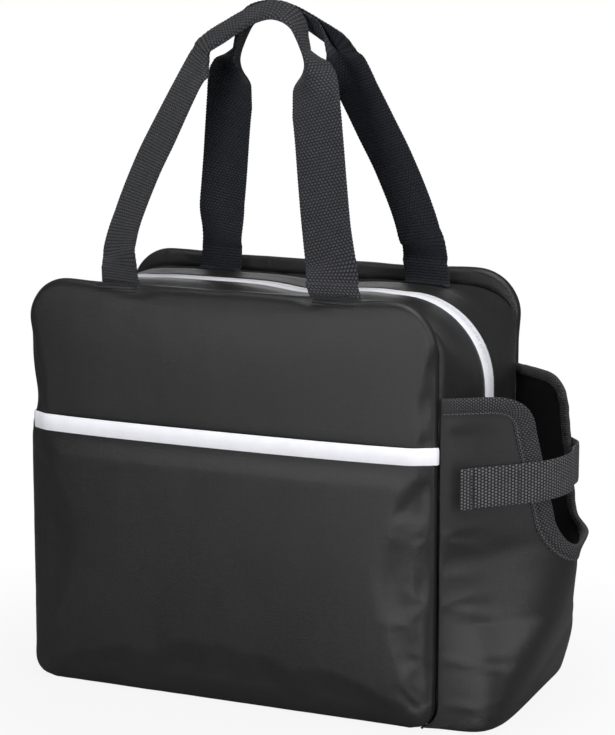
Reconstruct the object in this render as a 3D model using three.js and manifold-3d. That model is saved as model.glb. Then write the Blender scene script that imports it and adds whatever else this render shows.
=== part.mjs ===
// Insulated tote bag with a zipped mouth, a slip pocket on the front and a bottle pocket on one end.
// Millimetres, +Z up. The origin is the middle of the base, on the surface that the bag stands on.
// -Y is the front, and +X is the end with the bottle pocket.
import * as THREE from "three";
import { mergeVertices } from "three/addons/utils/BufferGeometryUtils.js";
import Module from "manifold-3d";

const wasm = await Module();
wasm.setup();

// Body
const bodyWidth = 290;
const bodyDepth = 144;
const bodyHeight = 273;
const topCornerRadius = 30;
const baseCornerRadius = 16;
const topCornerGrowth = 27; // added to the top corner radius halfway between front and back
const endSwell = 7; // how far each end stands out halfway between front and back
const topSag = 7; // how far the top sinks there
const panelCrown = 6; // how far the front and back walls stand out in their middle
const crownReach = 110; // how far in from the outline a wall reaches its full crown
const rollDepth = 5; // how far the padded rim of a wall turns back to its seam
const rollReach = 6; // how far in from the outline that rim begins
const seamDip = 2.5; // how far the end, top and base panels sink where they meet a wall
const dipReach = 8;

// Layers, from the outside in
const fit = 0.3; // gap between pieces that lie on each other
const bindingEase = 0.8; // gap between a curved panel and the tape folded over its edge
const coverThickness = 1.2;
const tapeThickness = 0.6;
const foamThickness = 5.5;
const linerThickness = 0.8;

// Zip
const zipSlit = 0.7; // from the middle of the zip to the edge of each half
const zipShow = 8; // from the middle of the zip to the cloth on each side
const tapeReach = 13; // from the middle of the zip to the hidden edge of each tape
const coilReach = 3; // from the middle of the zip to the far side of each coil
const coilRise = 0.9; // how far the coils stand above the panels
const zipStopLength = 3;
const zipFootLength = 68; // how far the zip goes on below the fold, on each end of the bag
const foldRise = 3; // how far above the bottle pocket the mouth folds

// Slider and pull tab
const sliderRoom = 2.7; // between the slider and the stop below it, with the zip closed
const sliderLength = 14;
const sliderWidth = 10.4;
const sliderWaist = 8.6;
const plateThickness = 1.3;
const postWidth = 0.8;
const postLength = 3.4;
const bailLength = 8.4;
const bailRise = 4.2;
const bailThickness = 1.5;
const bailBar = 1.2;
const pullLength = 27;
const pullWidth = 7.6;
const pullThickness = 1.5;
const pullEyeLength = 7.6;
const pullEyeWidth = 2.6;
const pullBar = 1.6;
const pullHole = 2.4;

// Front pocket
const pocketDrop = 91; // from the top of the bag to the mouth of the pocket
const pocketFoot = 5;
const pocketRim = 1.5; // from the outline of the wall to the sewn edge of the pocket
const pocketThickness = 1.2;
const pocketFit = 0.6; // gap between its sewn edges and the wall
const pocketEase = 4.4; // room between the pocket and the wall, in the middle of the mouth
const pocketLift = 1.5; // room at the two ends of the mouth, for the trim
const trimHeight = 10;
const trimThickness = 0.8;

// Bottle pocket
const pouchReach = 66; // how far it stands out from the end
const pouchPower = 1.65; // 2 would make its outline seen from above a parabola, and 1 a wedge
const pouchDrop = 58; // from the top of the bag to the top of the pocket
const pouchFoot = 3;
const pouchFootRise = 22; // height over which its rounded foot swells out
const pouchThickness = 1.5;
const pouchStandoff = 1.4;
const notchTopHalf = 31;
const notchDepth = 104;
const notchFootHalf = 19;
const notchCorner = 22;
const pouchEdgeAngle = THREE.MathUtils.degToRad(4); // from the end of the bag to the ends of the binding
const bindingReach = 10;
const bindingThickness = 0.9;

// Strap across the notch of the bottle pocket
const strapWidth = 25.4;
const strapThickness = 1.6;
const strapStart = THREE.MathUtils.degToRad(26);
const strapEnd = THREE.MathUtils.degToRad(150);
const strapTailEnd = THREE.MathUtils.degToRad(164);
const strapDrop = 58; // from the top of the pocket to the middle of the strap, at its front end
const strapClimb = 6; // how much higher the strap is at its sewn end
const patchThickness = 1;
const patchWidth = 22;
const patchEnd = THREE.MathUtils.degToRad(46);
const patchInset = THREE.MathUtils.degToRad(3);

// Handles
const webbingWidth = 34;
const webbingThickness = 1.6;
const handleSpread = 79; // from the middle of the bag to the middle of the webbing, at its sewn end
const handleRise = 169; // from the seam straight up to the crease of the grip
const handleTopGap = 15.5; // from the middle of the bag to the crease of the grip
const handleSeat = 0.4; // gap between the webbing and the seam that carries it

// The front handle from its left end to its right end, where it folds in half into the grip and opens again.
// Each place is given across, in from the seam and up, as shares of the three lengths above.
// The angles tell where the two halves of the webbing point: 0 is outwards, 90 to the front, 180 inwards.
const handleCourse = [
  [-1, 0, 0, 0, 180],
  [-1.076, 0.139, 0.126, -22, 158],
  [-1.032, 0.285, 0.25, -32, 148],
  [-0.918, 0.467, 0.428, -33, 147],
  [-0.791, 0.621, 0.576, -34, 146],
  [-0.677, 0.754, 0.706, -37, 143],
  [-0.589, 0.857, 0.801, -39, 141],
  [-0.532, 0.908, 0.845, -36, 150],
  [-0.468, 0.949, 0.875, -31, 313],
  [-0.354, 0.98, 0.907, -30, 314],
  [-0.228, 1, 0.946, -34, 310],
  [-0.101, 1, 0.978, -38, 306],
  [0.038, 1, 0.998, -42, 302],
  [0.152, 0.984, 0.992, -50, 294],
  [0.237, 0.973, 0.969, -68, 276],
  [0.297, 0.963, 0.934, -84, 260],
  [0.348, 0.949, 0.892, -92, 252],
  [0.386, 0.928, 0.857, -78, 250],
  [0.418, 0.904, 0.827, -58, 230],
  [0.443, 0.871, 0.798, -44, 213],
  [0.468, 0.838, 0.765, -32, 200],
  [0.506, 0.785, 0.715, -16, 190],
  [0.544, 0.723, 0.659, -4, 180],
  [0.601, 0.611, 0.558, 0, 180],
  [0.684, 0.43, 0.392, 0, 180],
  [0.766, 0.262, 0.233, 0, 180],
  [0.848, 0.115, 0.102, 0, 180],
  [0.918, 0, 0, 0, 180],
];

// Steps of the curved surfaces
const cornerSteps = 6;
const ringCornerSteps = 5;
const ringSideSteps = 4;
const handleSteps = 2; // from each place of the course of a handle to the next
const bindingSteps = 54;
const pouchSteps = 28;

// Heights that follow from the height of the bag. The mouth folds just above the bottle pocket.
const pocketTop = bodyHeight - pocketDrop;
const pouchTop = bodyHeight - pouchDrop;
const notchFoot = pouchTop - notchDepth;
const strapHeight = pouchTop - strapDrop;
const foldHeight = pouchTop + foldRise;
const zipFootHeight = foldHeight - zipFootLength;
const sliderHeight = zipFootHeight + fit + zipStopLength + sliderRoom + sliderLength / 2;

// The depths of the layers under the outside of the bag
const tapeOuter = coverThickness + fit;
const tapeInner = tapeOuter + tapeThickness;
const foamOuter = tapeInner + fit;
const foamInner = foamOuter + foamThickness;
const linerOuter = foamInner + fit;
const linerInner = linerOuter + linerThickness;

// Distances from the middle of the bag towards the front or the back
const wallFace = bodyDepth / 2;
const seamFace = wallFace - rollDepth;
const seamInner = seamFace - coverThickness;
const gussetEdge = seamInner - fit;
const pouchHalf = seamFace; // half the width of the bottle pocket, from seam to seam

const clamp01 = (value) => THREE.MathUtils.clamp(value, 0, 1);
const smooth = (value) => THREE.MathUtils.smoothstep(value, 0, 1);
const backwards = (list) => [...list].reverse();
const range = (count) => [...Array(Math.round(count)).keys()];
const spread = (from, to, steps) => range(steps + 1).map((i) => from + ((to - from) * i) / steps);

// Solids from points

// A solid from a list of points and a list of triangles, turned so that its faces point out.
function solidFrom(points, triangles) {
  const make = (faces) =>
    new wasm.Manifold(
      new wasm.Mesh({
        numProp: 3,
        vertProperties: new Float32Array(points.flatMap((p) => [p.x, p.y, p.z])),
        triVerts: new Uint32Array(faces.flat()),
      }),
    );
  const solid = make(triangles);
  return solid.volume() > 0 ? solid : make(triangles.map(([a, b, c]) => [a, c, b]));
}

// A solid from a closed three.js geometry.
function solidOf(geometry) {
  const plain = geometry.clone();
  plain.deleteAttribute("normal");
  plain.deleteAttribute("uv");
  const merged = mergeVertices(plain, 1e-4);
  return new wasm.Manifold(
    new wasm.Mesh({
      numProp: 3,
      vertProperties: new Float32Array(merged.attributes.position.array),
      triVerts: new Uint32Array(merged.index.array),
    }),
  );
}

function geometryOf(solid) {
  const { vertProperties, triVerts } = solid.getMesh();
  const geometry = new THREE.BufferGeometry();
  geometry.setAttribute("position", new THREE.BufferAttribute(new Float32Array(vertProperties), 3));
  geometry.setIndex(new THREE.BufferAttribute(new Uint32Array(triVerts), 1));
  geometry.computeVertexNormals();
  return geometry;
}

const joined = (solids) => solids.reduce((whole, next) => whole.add(next));

function box(low, high) {
  const size = high.map((value, axis) => value - low[axis]);
  const geometry = new THREE.BoxGeometry(...size);
  geometry.translate(...low.map((value, axis) => value + size[axis] / 2));
  return solidOf(geometry);
}

// A closed sheet between two grids of points that have the same rows and columns.
function sheet(outer, inner) {
  const rows = outer.length;
  const columns = outer[0].length;
  const count = rows * columns;
  const at = (row, column) => row * columns + column;
  const triangles = [];
  const quad = (a, b, c, d) => triangles.push([a, b, c], [a, c, d]);
  for (const row of range(rows - 1))
    for (const column of range(columns - 1)) {
      const ring = [at(row, column), at(row, column + 1), at(row + 1, column + 1), at(row + 1, column)];
      quad(...ring);
      quad(...ring.map((i) => i + count).reverse());
    }
  const rim = [
    ...range(columns).map((column) => at(0, column)),
    ...range(rows).slice(1).map((row) => at(row, columns - 1)),
    ...range(columns).slice(0, -1).reverse().map((column) => at(rows - 1, column)),
    ...range(rows).slice(1, -1).reverse().map((row) => at(row, 0)),
  ];
  rim.forEach((here, i) => {
    const next = rim[(i + 1) % rim.length];
    quad(next, here, here + count, next + count);
  });
  return solidFrom([...outer.flat(), ...inner.flat()], triangles);
}

// A solid through sections of the same number of points. The flat outline says how the ends close.
function loft(sections, outline) {
  const size = outline.length;
  const triangles = [];
  range(sections.length - 1).forEach((row) =>
    range(size).forEach((i) => {
      const next = (i + 1) % size;
      const [a, b] = [row * size + i, row * size + next];
      triangles.push([a, b, b + size], [a, b + size, a + size]);
    }),
  );
  const last = (sections.length - 1) * size;
  const caps = THREE.ShapeUtils.triangulateShape(outline, []);
  const turned = THREE.ShapeUtils.isClockWise(outline) ? -1 : 1;
  caps.forEach(([a, b, c]) => {
    const start = turned > 0 ? [a, c, b] : [a, b, c];
    const end = turned > 0 ? [a, b, c] : [a, c, b];
    triangles.push(start, end.map((i) => i + last));
  });
  return solidFrom(sections.flat(), triangles);
}

// The hoop of ends, top and base that joins the two walls

// A leg of the hoop is a stretch of it, seen from the front, and t runs from 0 to 1 along the leg.
const stations = (leg, steps, from = 0, to = 1) => spread(from, to, steps).map((t) => ({ leg, t }));

function hoopSizes(y, depth) {
  const swell = 1 - (y / wallFace) ** 2;
  const dip = seamDip * clamp01((Math.abs(y) - gussetEdge + dipReach) / dipReach) ** 2;
  return {
    half: bodyWidth / 2 + endSwell * swell - dip - depth,
    top: bodyHeight - topSag * swell - dip - depth,
    bottom: dip + depth,
    topRadius: topCornerRadius + topCornerGrowth * swell - depth,
    baseRadius: baseCornerRadius - depth,
  };
}

// A point of the hoop at the given depth under its outside.
function hoopPoint({ leg, t }, y, depth) {
  const { half, top, bottom, topRadius, baseRadius } = hoopSizes(y, depth);
  const angle = (t * Math.PI) / 2;
  const side = leg.startsWith("left") ? -1 : 1;
  const at = (x, z) => new THREE.Vector3(x, y, z);
  if (leg === "top") return at((half - topRadius) * (2 * t - 1), top);
  if (leg === "base") return at((half - baseRadius) * (1 - 2 * t), bottom);
  if (leg.endsWith("Side")) {
    return at(side * half, THREE.MathUtils.lerp(bottom + baseRadius, top - topRadius, t));
  }
  const radius = leg.endsWith("Corner") ? topRadius : baseRadius;
  const lift = leg.endsWith("Corner") ? top - radius : bottom + radius;
  const turn = leg.endsWith("Corner") ? 1 : -1;
  return at(side * (half - radius + radius * Math.cos(angle)), lift + turn * radius * Math.sin(angle));
}

function hoopSheet(path, rows, outerDepth, innerDepth) {
  const grid = (depth) => path.map((station) => rows.map((y) => hoopPoint(station, y, depth)));
  return sheet(grid(outerDepth), grid(innerDepth));
}

// The hoop folds where the walls do, at a height that its ends pass in their top corners.
// So each of these paths runs past the fold, and what is made along it is cut there.
const upFrom = (side, t) => [
  ...stations(side + "Side", 1, t, 1),
  ...stations(side + "Corner", cornerSteps).slice(1),
];
const overTop = [
  ...upFrom("left", 0.8),
  ...stations("top", 6).slice(1),
  ...backwards(upFrom("right", 0.8)).slice(1),
];
const upEnd = (side) => [
  ...stations(side + "Side", 4),
  ...stations(side + "Corner", cornerSteps / 2, 0, 0.5).slice(1),
];
const cornerShare = 0.49; // an end panel and the base panel meet halfway round the corner
const downEnd = (side) => [
  ...backwards(upEnd(side)),
  ...stations(side + "Foot", 2, 0, cornerShare).slice(1),
];
const alongBase = [
  ...stations("rightFoot", 2, 1 - cornerShare, 1),
  ...stations("base", 4).slice(1),
  ...backwards(stations("leftFoot", 2, 1 - cornerShare, 1)).slice(1),
];

// The walls

const wallRoll = (inset) => {
  const share = clamp01(1 - inset / rollReach);
  return rollDepth * (1 - Math.sqrt(1 - share ** 2));
};
const wallCrown = (inset) => panelCrown * (1 - (1 - clamp01(inset / crownReach)) ** 2.2);
// How far the outside of a wall lies from the middle of the bag, at an inset from its outline.
const wallSurface = (inset) => wallFace - wallRoll(inset) + wallCrown(inset);

// The outline of a wall, moved in by the inset.
function wallOutline(inset) {
  const half = bodyWidth / 2 - inset;
  const corner = (x, z, radius, from) =>
    spread(from, from + Math.PI / 2, ringCornerSteps).map(
      (angle) => new THREE.Vector2(x + radius * Math.cos(angle), z + radius * Math.sin(angle)),
    );
  const least = 2;
  const topRadius = Math.max(topCornerRadius - inset, least);
  const baseRadius = Math.max(baseCornerRadius - inset, least);
  const [highZ, lowZ] = [bodyHeight - inset - topRadius, inset + baseRadius];
  const corners = [
    corner(half - topRadius, highZ, topRadius, 0),
    corner(-half + topRadius, highZ, topRadius, Math.PI / 2),
    corner(-half + baseRadius, lowZ, baseRadius, Math.PI),
    corner(half - baseRadius, lowZ, baseRadius, 1.5 * Math.PI),
  ];
  return corners.flatMap((points, i) => {
    const next = corners[(i + 1) % 4][0];
    const shares = range(ringSideSteps).slice(1);
    const side = shares.map((k) => points.at(-1).clone().lerp(next, k / ringSideSteps));
    return [...points, ...side];
  });
}

// A wall between two surfaces, each given by its distance from the middle of the bag at an inset.
function wall(side, insets, outerAt, innerAt) {
  const surface = (distanceAt) =>
    insets.map((inset) =>
      wallOutline(inset).map((p) => new THREE.Vector3(p.x, side * distanceAt(inset), p.y)),
    );
  const [outer, inner] = [surface(outerAt), surface(innerAt)];
  const size = outer[0].length;
  const rings = [...[...outer].reverse(), ...inner];
  const points = rings.flat();
  const middle = (distance) => new THREE.Vector3(0, side * distance, bodyHeight / 2);
  points.push(middle(outerAt(insets.at(-1))), middle(innerAt(insets.at(-1))));
  const triangles = [];
  range(size).forEach((i) => {
    const next = (i + 1) % size;
    range(rings.length - 1).forEach((row) => {
      const [a, b] = [row * size + i, row * size + next];
      triangles.push([a, b, b + size], [a, b + size, a + size]);
    });
    const last = (rings.length - 1) * size;
    triangles.push([points.length - 2, next, i], [points.length - 1, last + i, last + next]);
  });
  return solidFrom(points, triangles);
}

const crownRings = [0.27, 0.6, 1].map((share) => share * crownReach);
const wallInsets = [0, rollReach / 4, rollReach, ...crownRings];
const wallBackOf = (inset) => wallSurface(inset) - coverThickness;
const wallCover = (side) => wall(side, wallInsets, wallSurface, wallBackOf);
const wallFoam = (side) =>
  wall(
    side,
    [coverThickness + fit, rollReach, ...crownRings],
    (inset) => wallSurface(inset) - coverThickness - fit,
    () => seamInner,
  );
// The liner against a wall reaches halfway into the liner of the hoop.
function wallLiner(side, path) {
  const middle = (linerOuter + linerInner) / 2;
  const layer = (distance) => path.map((station) => hoopPoint(station, side * distance, middle));
  const layers = [layer(gussetEdge), layer(gussetEdge - linerThickness)];
  return loft(layers, layers[0].map((p) => new THREE.Vector2(p.x, p.z)));
}

const beyond = 1000;
const above = (solid, height) => solid.intersect(box([-beyond, -beyond, height], [beyond, beyond, beyond]));
const below = (solid, height) => solid.intersect(box([-beyond, -beyond, -beyond], [beyond, beyond, height]));
const upperPart = (solid) => above(solid, foldHeight + fit / 2);
const lowerPart = (solid) => below(solid, foldHeight - fit / 2);

// Rows of points from one distance to another, closer together where the panel dips to its seam
const dipRows = [gussetEdge, gussetEdge - dipReach / 2, gussetEdge - dipReach];
const rowsTo = (edge) => [...dipRows, 0.6 * gussetEdge, edge];
const halfRows = rowsTo(0.28 * gussetEdge);
const fullRows = [...halfRows, 0, ...backwards(halfRows).map((y) => -y)];

// Ends and base

const zipSlot = (halfWidth) =>
  box([-beyond, -halfWidth, zipFootHeight], [beyond, halfWidth, foldHeight + beyond]);

function endLayer(side, outerDepth, innerDepth, slotHalf) {
  return lowerPart(hoopSheet(downEnd(side), fullRows, outerDepth, innerDepth)).subtract(zipSlot(slotHalf));
}
const endCover = (side) => endLayer(side, 0, coverThickness, zipShow);
const endFoam = (side) => endLayer(side, foamOuter, foamInner, zipShow + 1.5);
const baseCover = () => hoopSheet(alongBase, fullRows, 0, coverThickness);
const baseFoam = () => hoopSheet(alongBase, fullRows, foamOuter, foamInner);

function linerTub() {
  const around = [
    ...backwards(upEnd("right")),
    ...stations("rightFoot", 3).slice(1),
    ...stations("base", 3).slice(1),
    ...backwards(stations("leftFoot", 3)).slice(1),
    ...upEnd("left").slice(1),
  ];
  const hoop = hoopSheet(around, fullRows, linerOuter, linerInner);
  return lowerPart(joined([hoop, wallLiner(-1, around), wallLiner(1, around)]));
}

// The two halves of the mouth, each a strip over the top with its foam and liner

const topRows = (side, edge) => rowsTo(edge).map((y) => side * y);
const mouthLayer = (rows, outerDepth, innerDepth) =>
  upperPart(hoopSheet(overTop, rows, outerDepth, innerDepth));
const gusset = (side) => mouthLayer(topRows(side, zipShow), 0, coverThickness);
const gussetFoam = (side) => mouthLayer(topRows(side, zipShow + 2), foamOuter, foamInner);
function gussetLiner(side) {
  const strip = mouthLayer(topRows(side, zipShow + 2), linerOuter, linerInner);
  return joined([strip, upperPart(wallLiner(side, overTop))]);
}

// Zip

const zipTape = (side) => mouthLayer([side * zipSlit, side * tapeReach], tapeOuter, tapeInner);

// A coil is round on top, and lies on its tape.
function zipCoil(side, path) {
  const middle = (zipSlit + coilReach) / 2;
  const half = (coilReach - zipSlit) / 2;
  const outline = [
    [-half, coverThickness],
    [-half, 0],
    [-half * 0.5, -coilRise],
    [half * 0.5, -coilRise],
    [half, 0],
    [half, coverThickness],
  ].map(([across, depth]) => new THREE.Vector2(across, depth));
  const sections = path.map((station) => outline.map((p) => hoopPoint(station, side * (middle + p.x), p.y)));
  return loft(sections, outline);
}
const mouthCoil = (side) => upperPart(zipCoil(side, overTop));

// The straight foot of the zip: two tapes and coils, joined by the stop at their end.
function zipFoot(side) {
  const path = upEnd(side);
  const tapes = [-1, 1].map((y) => hoopSheet(path, [y * zipSlit, y * tapeReach], tapeOuter, tapeInner));
  const coils = [-1, 1].map((y) => zipCoil(y, path));
  const face = hoopSizes(0, 0).half;
  const direction = side === "left" ? -1 : 1;
  const block = (low, high, near, far, bottom, top) => {
    const reach = [direction * (face + low), direction * (face + high)].sort((a, b) => a - b);
    const across = [near, far].sort((a, b) => a - b);
    return box([reach[0], across[0], bottom], [reach[1], across[1], top]);
  };
  const foot = zipFootHeight + fit;
  const reachUp = foldHeight - topCornerRadius / 2;
  const stitches = [-1, 1].map((y) =>
    block(-tapeOuter - fit / 2, 0, y * zipSlit, y * (coilReach - fit), foot, reachUp),
  );
  const stop = block(-tapeInner, coilRise, -coilReach, coilReach, foot, foot + zipStopLength);
  return lowerPart(above(joined([...tapes, ...coils, ...stitches, stop]), foot));
}

// Slider, modelled lying flat: x along the zip towards its open end, y across it and z away from the bag.
// Its channel holds the coils, and its side slots let the tapes through.
function sliderBody() {
  const plate = (z) => {
    const shape = new THREE.Shape();
    const [long, wide, waist] = [sliderLength / 2, sliderWidth / 2, sliderWaist / 2];
    shape.moveTo(-long, -wide + 1.5);
    shape.quadraticCurveTo(-long, -wide, -long + 2, -wide);
    shape.lineTo(0, -waist);
    shape.lineTo(long, -waist);
    shape.lineTo(long, waist);
    shape.lineTo(0, waist);
    shape.lineTo(-long + 2, wide);
    shape.quadraticCurveTo(-long, wide, -long, wide - 1.5);
    const options = { depth: plateThickness, bevelEnabled: false, curveSegments: 3 };
    const geometry = new THREE.ExtrudeGeometry(shape, options);
    geometry.translate(0, 0, z);
    return solidOf(geometry);
  };
  const upperFace = coilRise + fit;
  const lowerFace = -tapeInner - fit;
  const upperPlate = plate(upperFace);
  const lowerPlate = plate(lowerFace - plateThickness);
  const rails = [-1, 1].map((side) => {
    const [near, far] = [side * (coilReach + fit), (side * sliderWaist) / 2].sort((a, b) => a - b);
    const reach = sliderLength / 2 - 0.6;
    return box([-reach, near, -tapeOuter + fit], [reach, far, upperFace + fit]);
  });
  const post = box(
    [-sliderLength / 2 + 1, -postWidth / 2, lowerFace - fit],
    [-sliderLength / 2 + 1 + postLength, postWidth / 2, upperFace + fit],
  );
  const bailFoot = upperFace + plateThickness;
  const arch = (length, rise) => {
    const shape = new THREE.Shape();
    shape.moveTo(-length / 2, -0.5);
    shape.lineTo(length / 2, -0.5);
    shape.lineTo(length / 2, rise * 0.45);
    shape.quadraticCurveTo(length / 2, rise, length / 4, rise);
    shape.lineTo(-length / 4, rise);
    shape.quadraticCurveTo(-length / 2, rise, -length / 2, rise * 0.45);
    return shape;
  };
  const whole = arch(bailLength, bailRise);
  const inside = arch(bailLength - 2 * bailBar, bailRise - bailBar);
  const bail = (shape, thickness) => {
    const options = { depth: thickness, bevelEnabled: false, curveSegments: 4 };
    const geometry = new THREE.ExtrudeGeometry(shape, options);
    geometry.translate(0, 0, -thickness / 2);
    geometry.rotateX(Math.PI / 2);
    geometry.translate(0, 0, bailFoot);
    return solidOf(geometry);
  };
  const hollow = bail(inside, bailThickness * 2).intersect(
    box([-beyond, -beyond, bailFoot], [beyond, beyond, beyond]),
  );
  return joined([upperPlate, lowerPlate, ...rails, post, bail(whole, bailThickness)]).subtract(hollow);
}
const pullAxisRise = coilRise + fit + plateThickness + fit + pullBar / 2; // of the pull's bar, above the zip

// Pull tab, modelled lying flat like the slider, with the middle of its bar at the origin.
function pullTab() {
  const shape = new THREE.Shape();
  const [wide, end] = [pullWidth / 2, pullLength - pullBar / 2];
  const neck = pullEyeWidth / 2 + pullBar;
  shape.moveTo(-pullBar / 2, -neck);
  shape.lineTo(pullEyeLength, -neck);
  shape.lineTo(pullEyeLength + 3, -wide);
  shape.lineTo(end - wide, -wide);
  shape.absarc(end - wide, 0, wide, -Math.PI / 2, Math.PI / 2, false);
  shape.lineTo(pullEyeLength + 3, wide);
  shape.lineTo(pullEyeLength, neck);
  shape.lineTo(-pullBar / 2, neck);
  const eye = new THREE.Path();
  eye.moveTo(pullBar / 2, -pullEyeWidth / 2);
  eye.lineTo(pullBar / 2, pullEyeWidth / 2);
  eye.lineTo(pullEyeLength, pullEyeWidth / 2);
  eye.lineTo(pullEyeLength, -pullEyeWidth / 2);
  const hole = new THREE.Path();
  hole.absarc(end - wide, 0, pullHole / 2, 0, 2 * Math.PI, true);
  shape.holes.push(eye, hole);
  const options = { depth: pullThickness, bevelEnabled: false, curveSegments: 6 };
  const geometry = new THREE.ExtrudeGeometry(shape, options);
  geometry.translate(0, 0, -pullThickness / 2);
  return solidOf(geometry);
}

// Binding: a tape folded over the edge of a panel.
// The edge is a row of flat points with the panel on its right, and onPanel turns a flat point
// and a height over the middle of the panel's thickness into a place.
function binding(edge, onPanel, panelThickness, reach, thickness) {
  const near = panelThickness / 2 + bindingEase;
  const far = near + thickness;
  const outline = [
    [far, reach],
    [far, -bindingEase - thickness],
    [-far, -bindingEase - thickness],
    [-far, reach],
    [-near, reach],
    [-near, -bindingEase],
    [near, -bindingEase],
    [near, reach],
  ].map(([out, into]) => new THREE.Vector2(out, into));
  const sections = edge.map((here, i) => {
    const along = edge[Math.min(i + 1, edge.length - 1)].clone().sub(edge[Math.max(i - 1, 0)]).normalize();
    const into = new THREE.Vector2(along.y, -along.x);
    return outline.map((p) => onPanel(here.clone().addScaledVector(into, p.y), p.x));
  });
  return loft(sections, outline);
}

// Front pocket

// How far in from the outline of a wall a point lies, and the other way round.
function wallInset(x, z) {
  const [over, under] = [Math.abs(x) - (bodyWidth / 2 - baseCornerRadius), baseCornerRadius - z];
  if (over > 0 && under > 0) return baseCornerRadius - Math.hypot(over, under);
  return Math.min(bodyWidth / 2 - Math.abs(x), z);
}
function halfAt(z, inset) {
  const radius = baseCornerRadius - inset;
  const under = Math.max(baseCornerRadius - z, 0);
  return bodyWidth / 2 - inset - radius + Math.sqrt(radius ** 2 - under ** 2);
}
// The room between the pocket and the wall grows from the sewn edges to the mouth.
function pocketRoom(share, z) {
  const towardsMouth = smooth(z / (0.6 * pocketTop));
  const atMouth = smooth((z / pocketTop - 0.6) / 0.4);
  return pocketFit + pocketLift * atMouth + pocketEase * towardsMouth * (1 - share ** 4);
}
// A point of the pocket, from a share of its half width, a height, and a height over its inner face.
function pocketPoint(share, z, out) {
  const x = share * halfAt(z, pocketRim);
  return new THREE.Vector3(x, -wallSurface(wallInset(x, z)) - pocketRoom(share, z) - out, z);
}
const pocketShares = [0, 0.35, 0.65, 0.85, 0.955, 0.985, 1];
const pocketColumns = [...pocketShares.slice(1).map((share) => -share).reverse(), ...pocketShares];
function frontPocket() {
  const rows = [0, 0.01, 0.03, 0.08, 0.2, 0.4, 0.6, 0.8, 1].map((share) =>
    THREE.MathUtils.lerp(pocketFoot, pocketTop, share),
  );
  const grid = (out) => rows.map((z) => pocketColumns.map((share) => pocketPoint(share, z, out)));
  return sheet(grid(pocketThickness), grid(0));
}
function frontPocketTrim() {
  const half = halfAt(pocketTop, pocketRim);
  const edge = pocketColumns.map((share) => new THREE.Vector2(share * half, pocketTop));
  const onPocket = (p, out) => pocketPoint(p.x / half, p.y, pocketThickness / 2 + out);
  return binding(edge, onPocket, pocketThickness, trimHeight, trimThickness);
}

// Bottle pocket

// How far the end of the bag turns in below a height, where it rounds to the base.
function footTurn(z) {
  const below = Math.max(baseCornerRadius - z, 0);
  return baseCornerRadius - Math.sqrt(baseCornerRadius ** 2 - below ** 2);
}

// The direction out of the pouch, seen from above.
// Its turn runs from the front seam, 0, to the back seam, half a turn.
function pouchOut(turn) {
  const across = -Math.cos(turn);
  const steepness = (pouchReach * pouchPower * Math.abs(across) ** (pouchPower - 1)) / pouchHalf;
  return new THREE.Vector3(1, Math.sign(across) * steepness, 0).normalize();
}

// A point of the pouch.
// Its rise runs from its foot, 0, to where it stands upright, a quarter turn, and lift is added.
function pouchPoint(turn, rise, lift, out) {
  const point = pouchOut(turn).multiplyScalar(out * Math.sin(rise));
  point.y -= pouchHalf * Math.cos(turn);
  point.z = pouchFoot + pouchFootRise * (1 - Math.cos(rise)) - out * Math.cos(rise) + lift;
  const plan = pouchReach * (1 - Math.abs(Math.cos(turn)) ** pouchPower);
  point.x += bodyWidth / 2 + pouchStandoff - footTurn(point.z) + plan * Math.sin(rise);
  point.x += endSwell * Math.sin(turn) ** 2 * (1 - Math.sin(rise));
  return point;
}
const pouchUpright = (turn, z, out) => pouchPoint(turn, Math.PI / 2, z - pouchFoot - pouchFootRise, out);

// The edge of the pouch, from the front seam through its notch to the back seam. Its x is a length round the
// pouch from the middle, and its y is a height.
const pouchRadius = 62;
const pouchTurn = (length) => Math.PI / 2 + length / pouchRadius;
const edgeLength = (Math.PI / 2 - pouchEdgeAngle) * pouchRadius;
function notchCurve(path) {
  path.quadraticCurveTo(-notchTopHalf, pouchTop, -notchTopHalf + 1, pouchTop - notchCorner);
  path.lineTo(-notchFootHalf, notchFoot + notchFootHalf);
  const [low, high] = [notchFoot + 10, notchFoot + notchFootHalf];
  path.bezierCurveTo(-notchFootHalf + 3, low, -notchFootHalf / 2, notchFoot, 0, notchFoot);
  path.bezierCurveTo(notchFootHalf / 2, notchFoot, notchFootHalf - 3, low, notchFootHalf, high);
  path.lineTo(notchTopHalf - 1, pouchTop - notchCorner);
  path.quadraticCurveTo(notchTopHalf, pouchTop, notchTopHalf + notchCorner, pouchTop);
  return path;
}
function pouchEdge() {
  const path = new THREE.Path();
  path.moveTo(-edgeLength, pouchTop);
  path.lineTo(-notchTopHalf - notchCorner, pouchTop);
  return notchCurve(path).lineTo(edgeLength, pouchTop).getSpacedPoints(bindingSteps);
}
// What is cut away above the edge.
function edgeCutter() {
  const [farLength, farHeight] = [(Math.PI / 2 + pouchEdgeAngle) * pouchRadius, pouchTop + 20];
  const ends = [-farLength, farLength].map((length) => new THREE.Vector2(length, pouchTop));
  const edge = [ends[0], ...pouchEdge(), ends[1]];
  const grid = (out) => edge.map((p) => [p.y, farHeight].map((z) => pouchUpright(pouchTurn(p.x), z, out)));
  return sheet(grid(20), grid(-20));
}
function bottlePocket() {
  const turns = spread(0, Math.PI, pouchSteps);
  const foot = spread(0, Math.PI / 2, 6);
  const lifts = spread(0, pouchTop - pouchFoot - pouchFootRise + fit, 5).slice(1);
  const rows = [...foot.map((rise) => [rise, 0]), ...lifts.map((lift) => [Math.PI / 2, lift])];
  const grid = (out) => rows.map(([rise, lift]) => turns.map((turn) => pouchPoint(turn, rise, lift, out)));
  return sheet(grid(0), grid(-pouchThickness)).subtract(edgeCutter());
}
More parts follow.
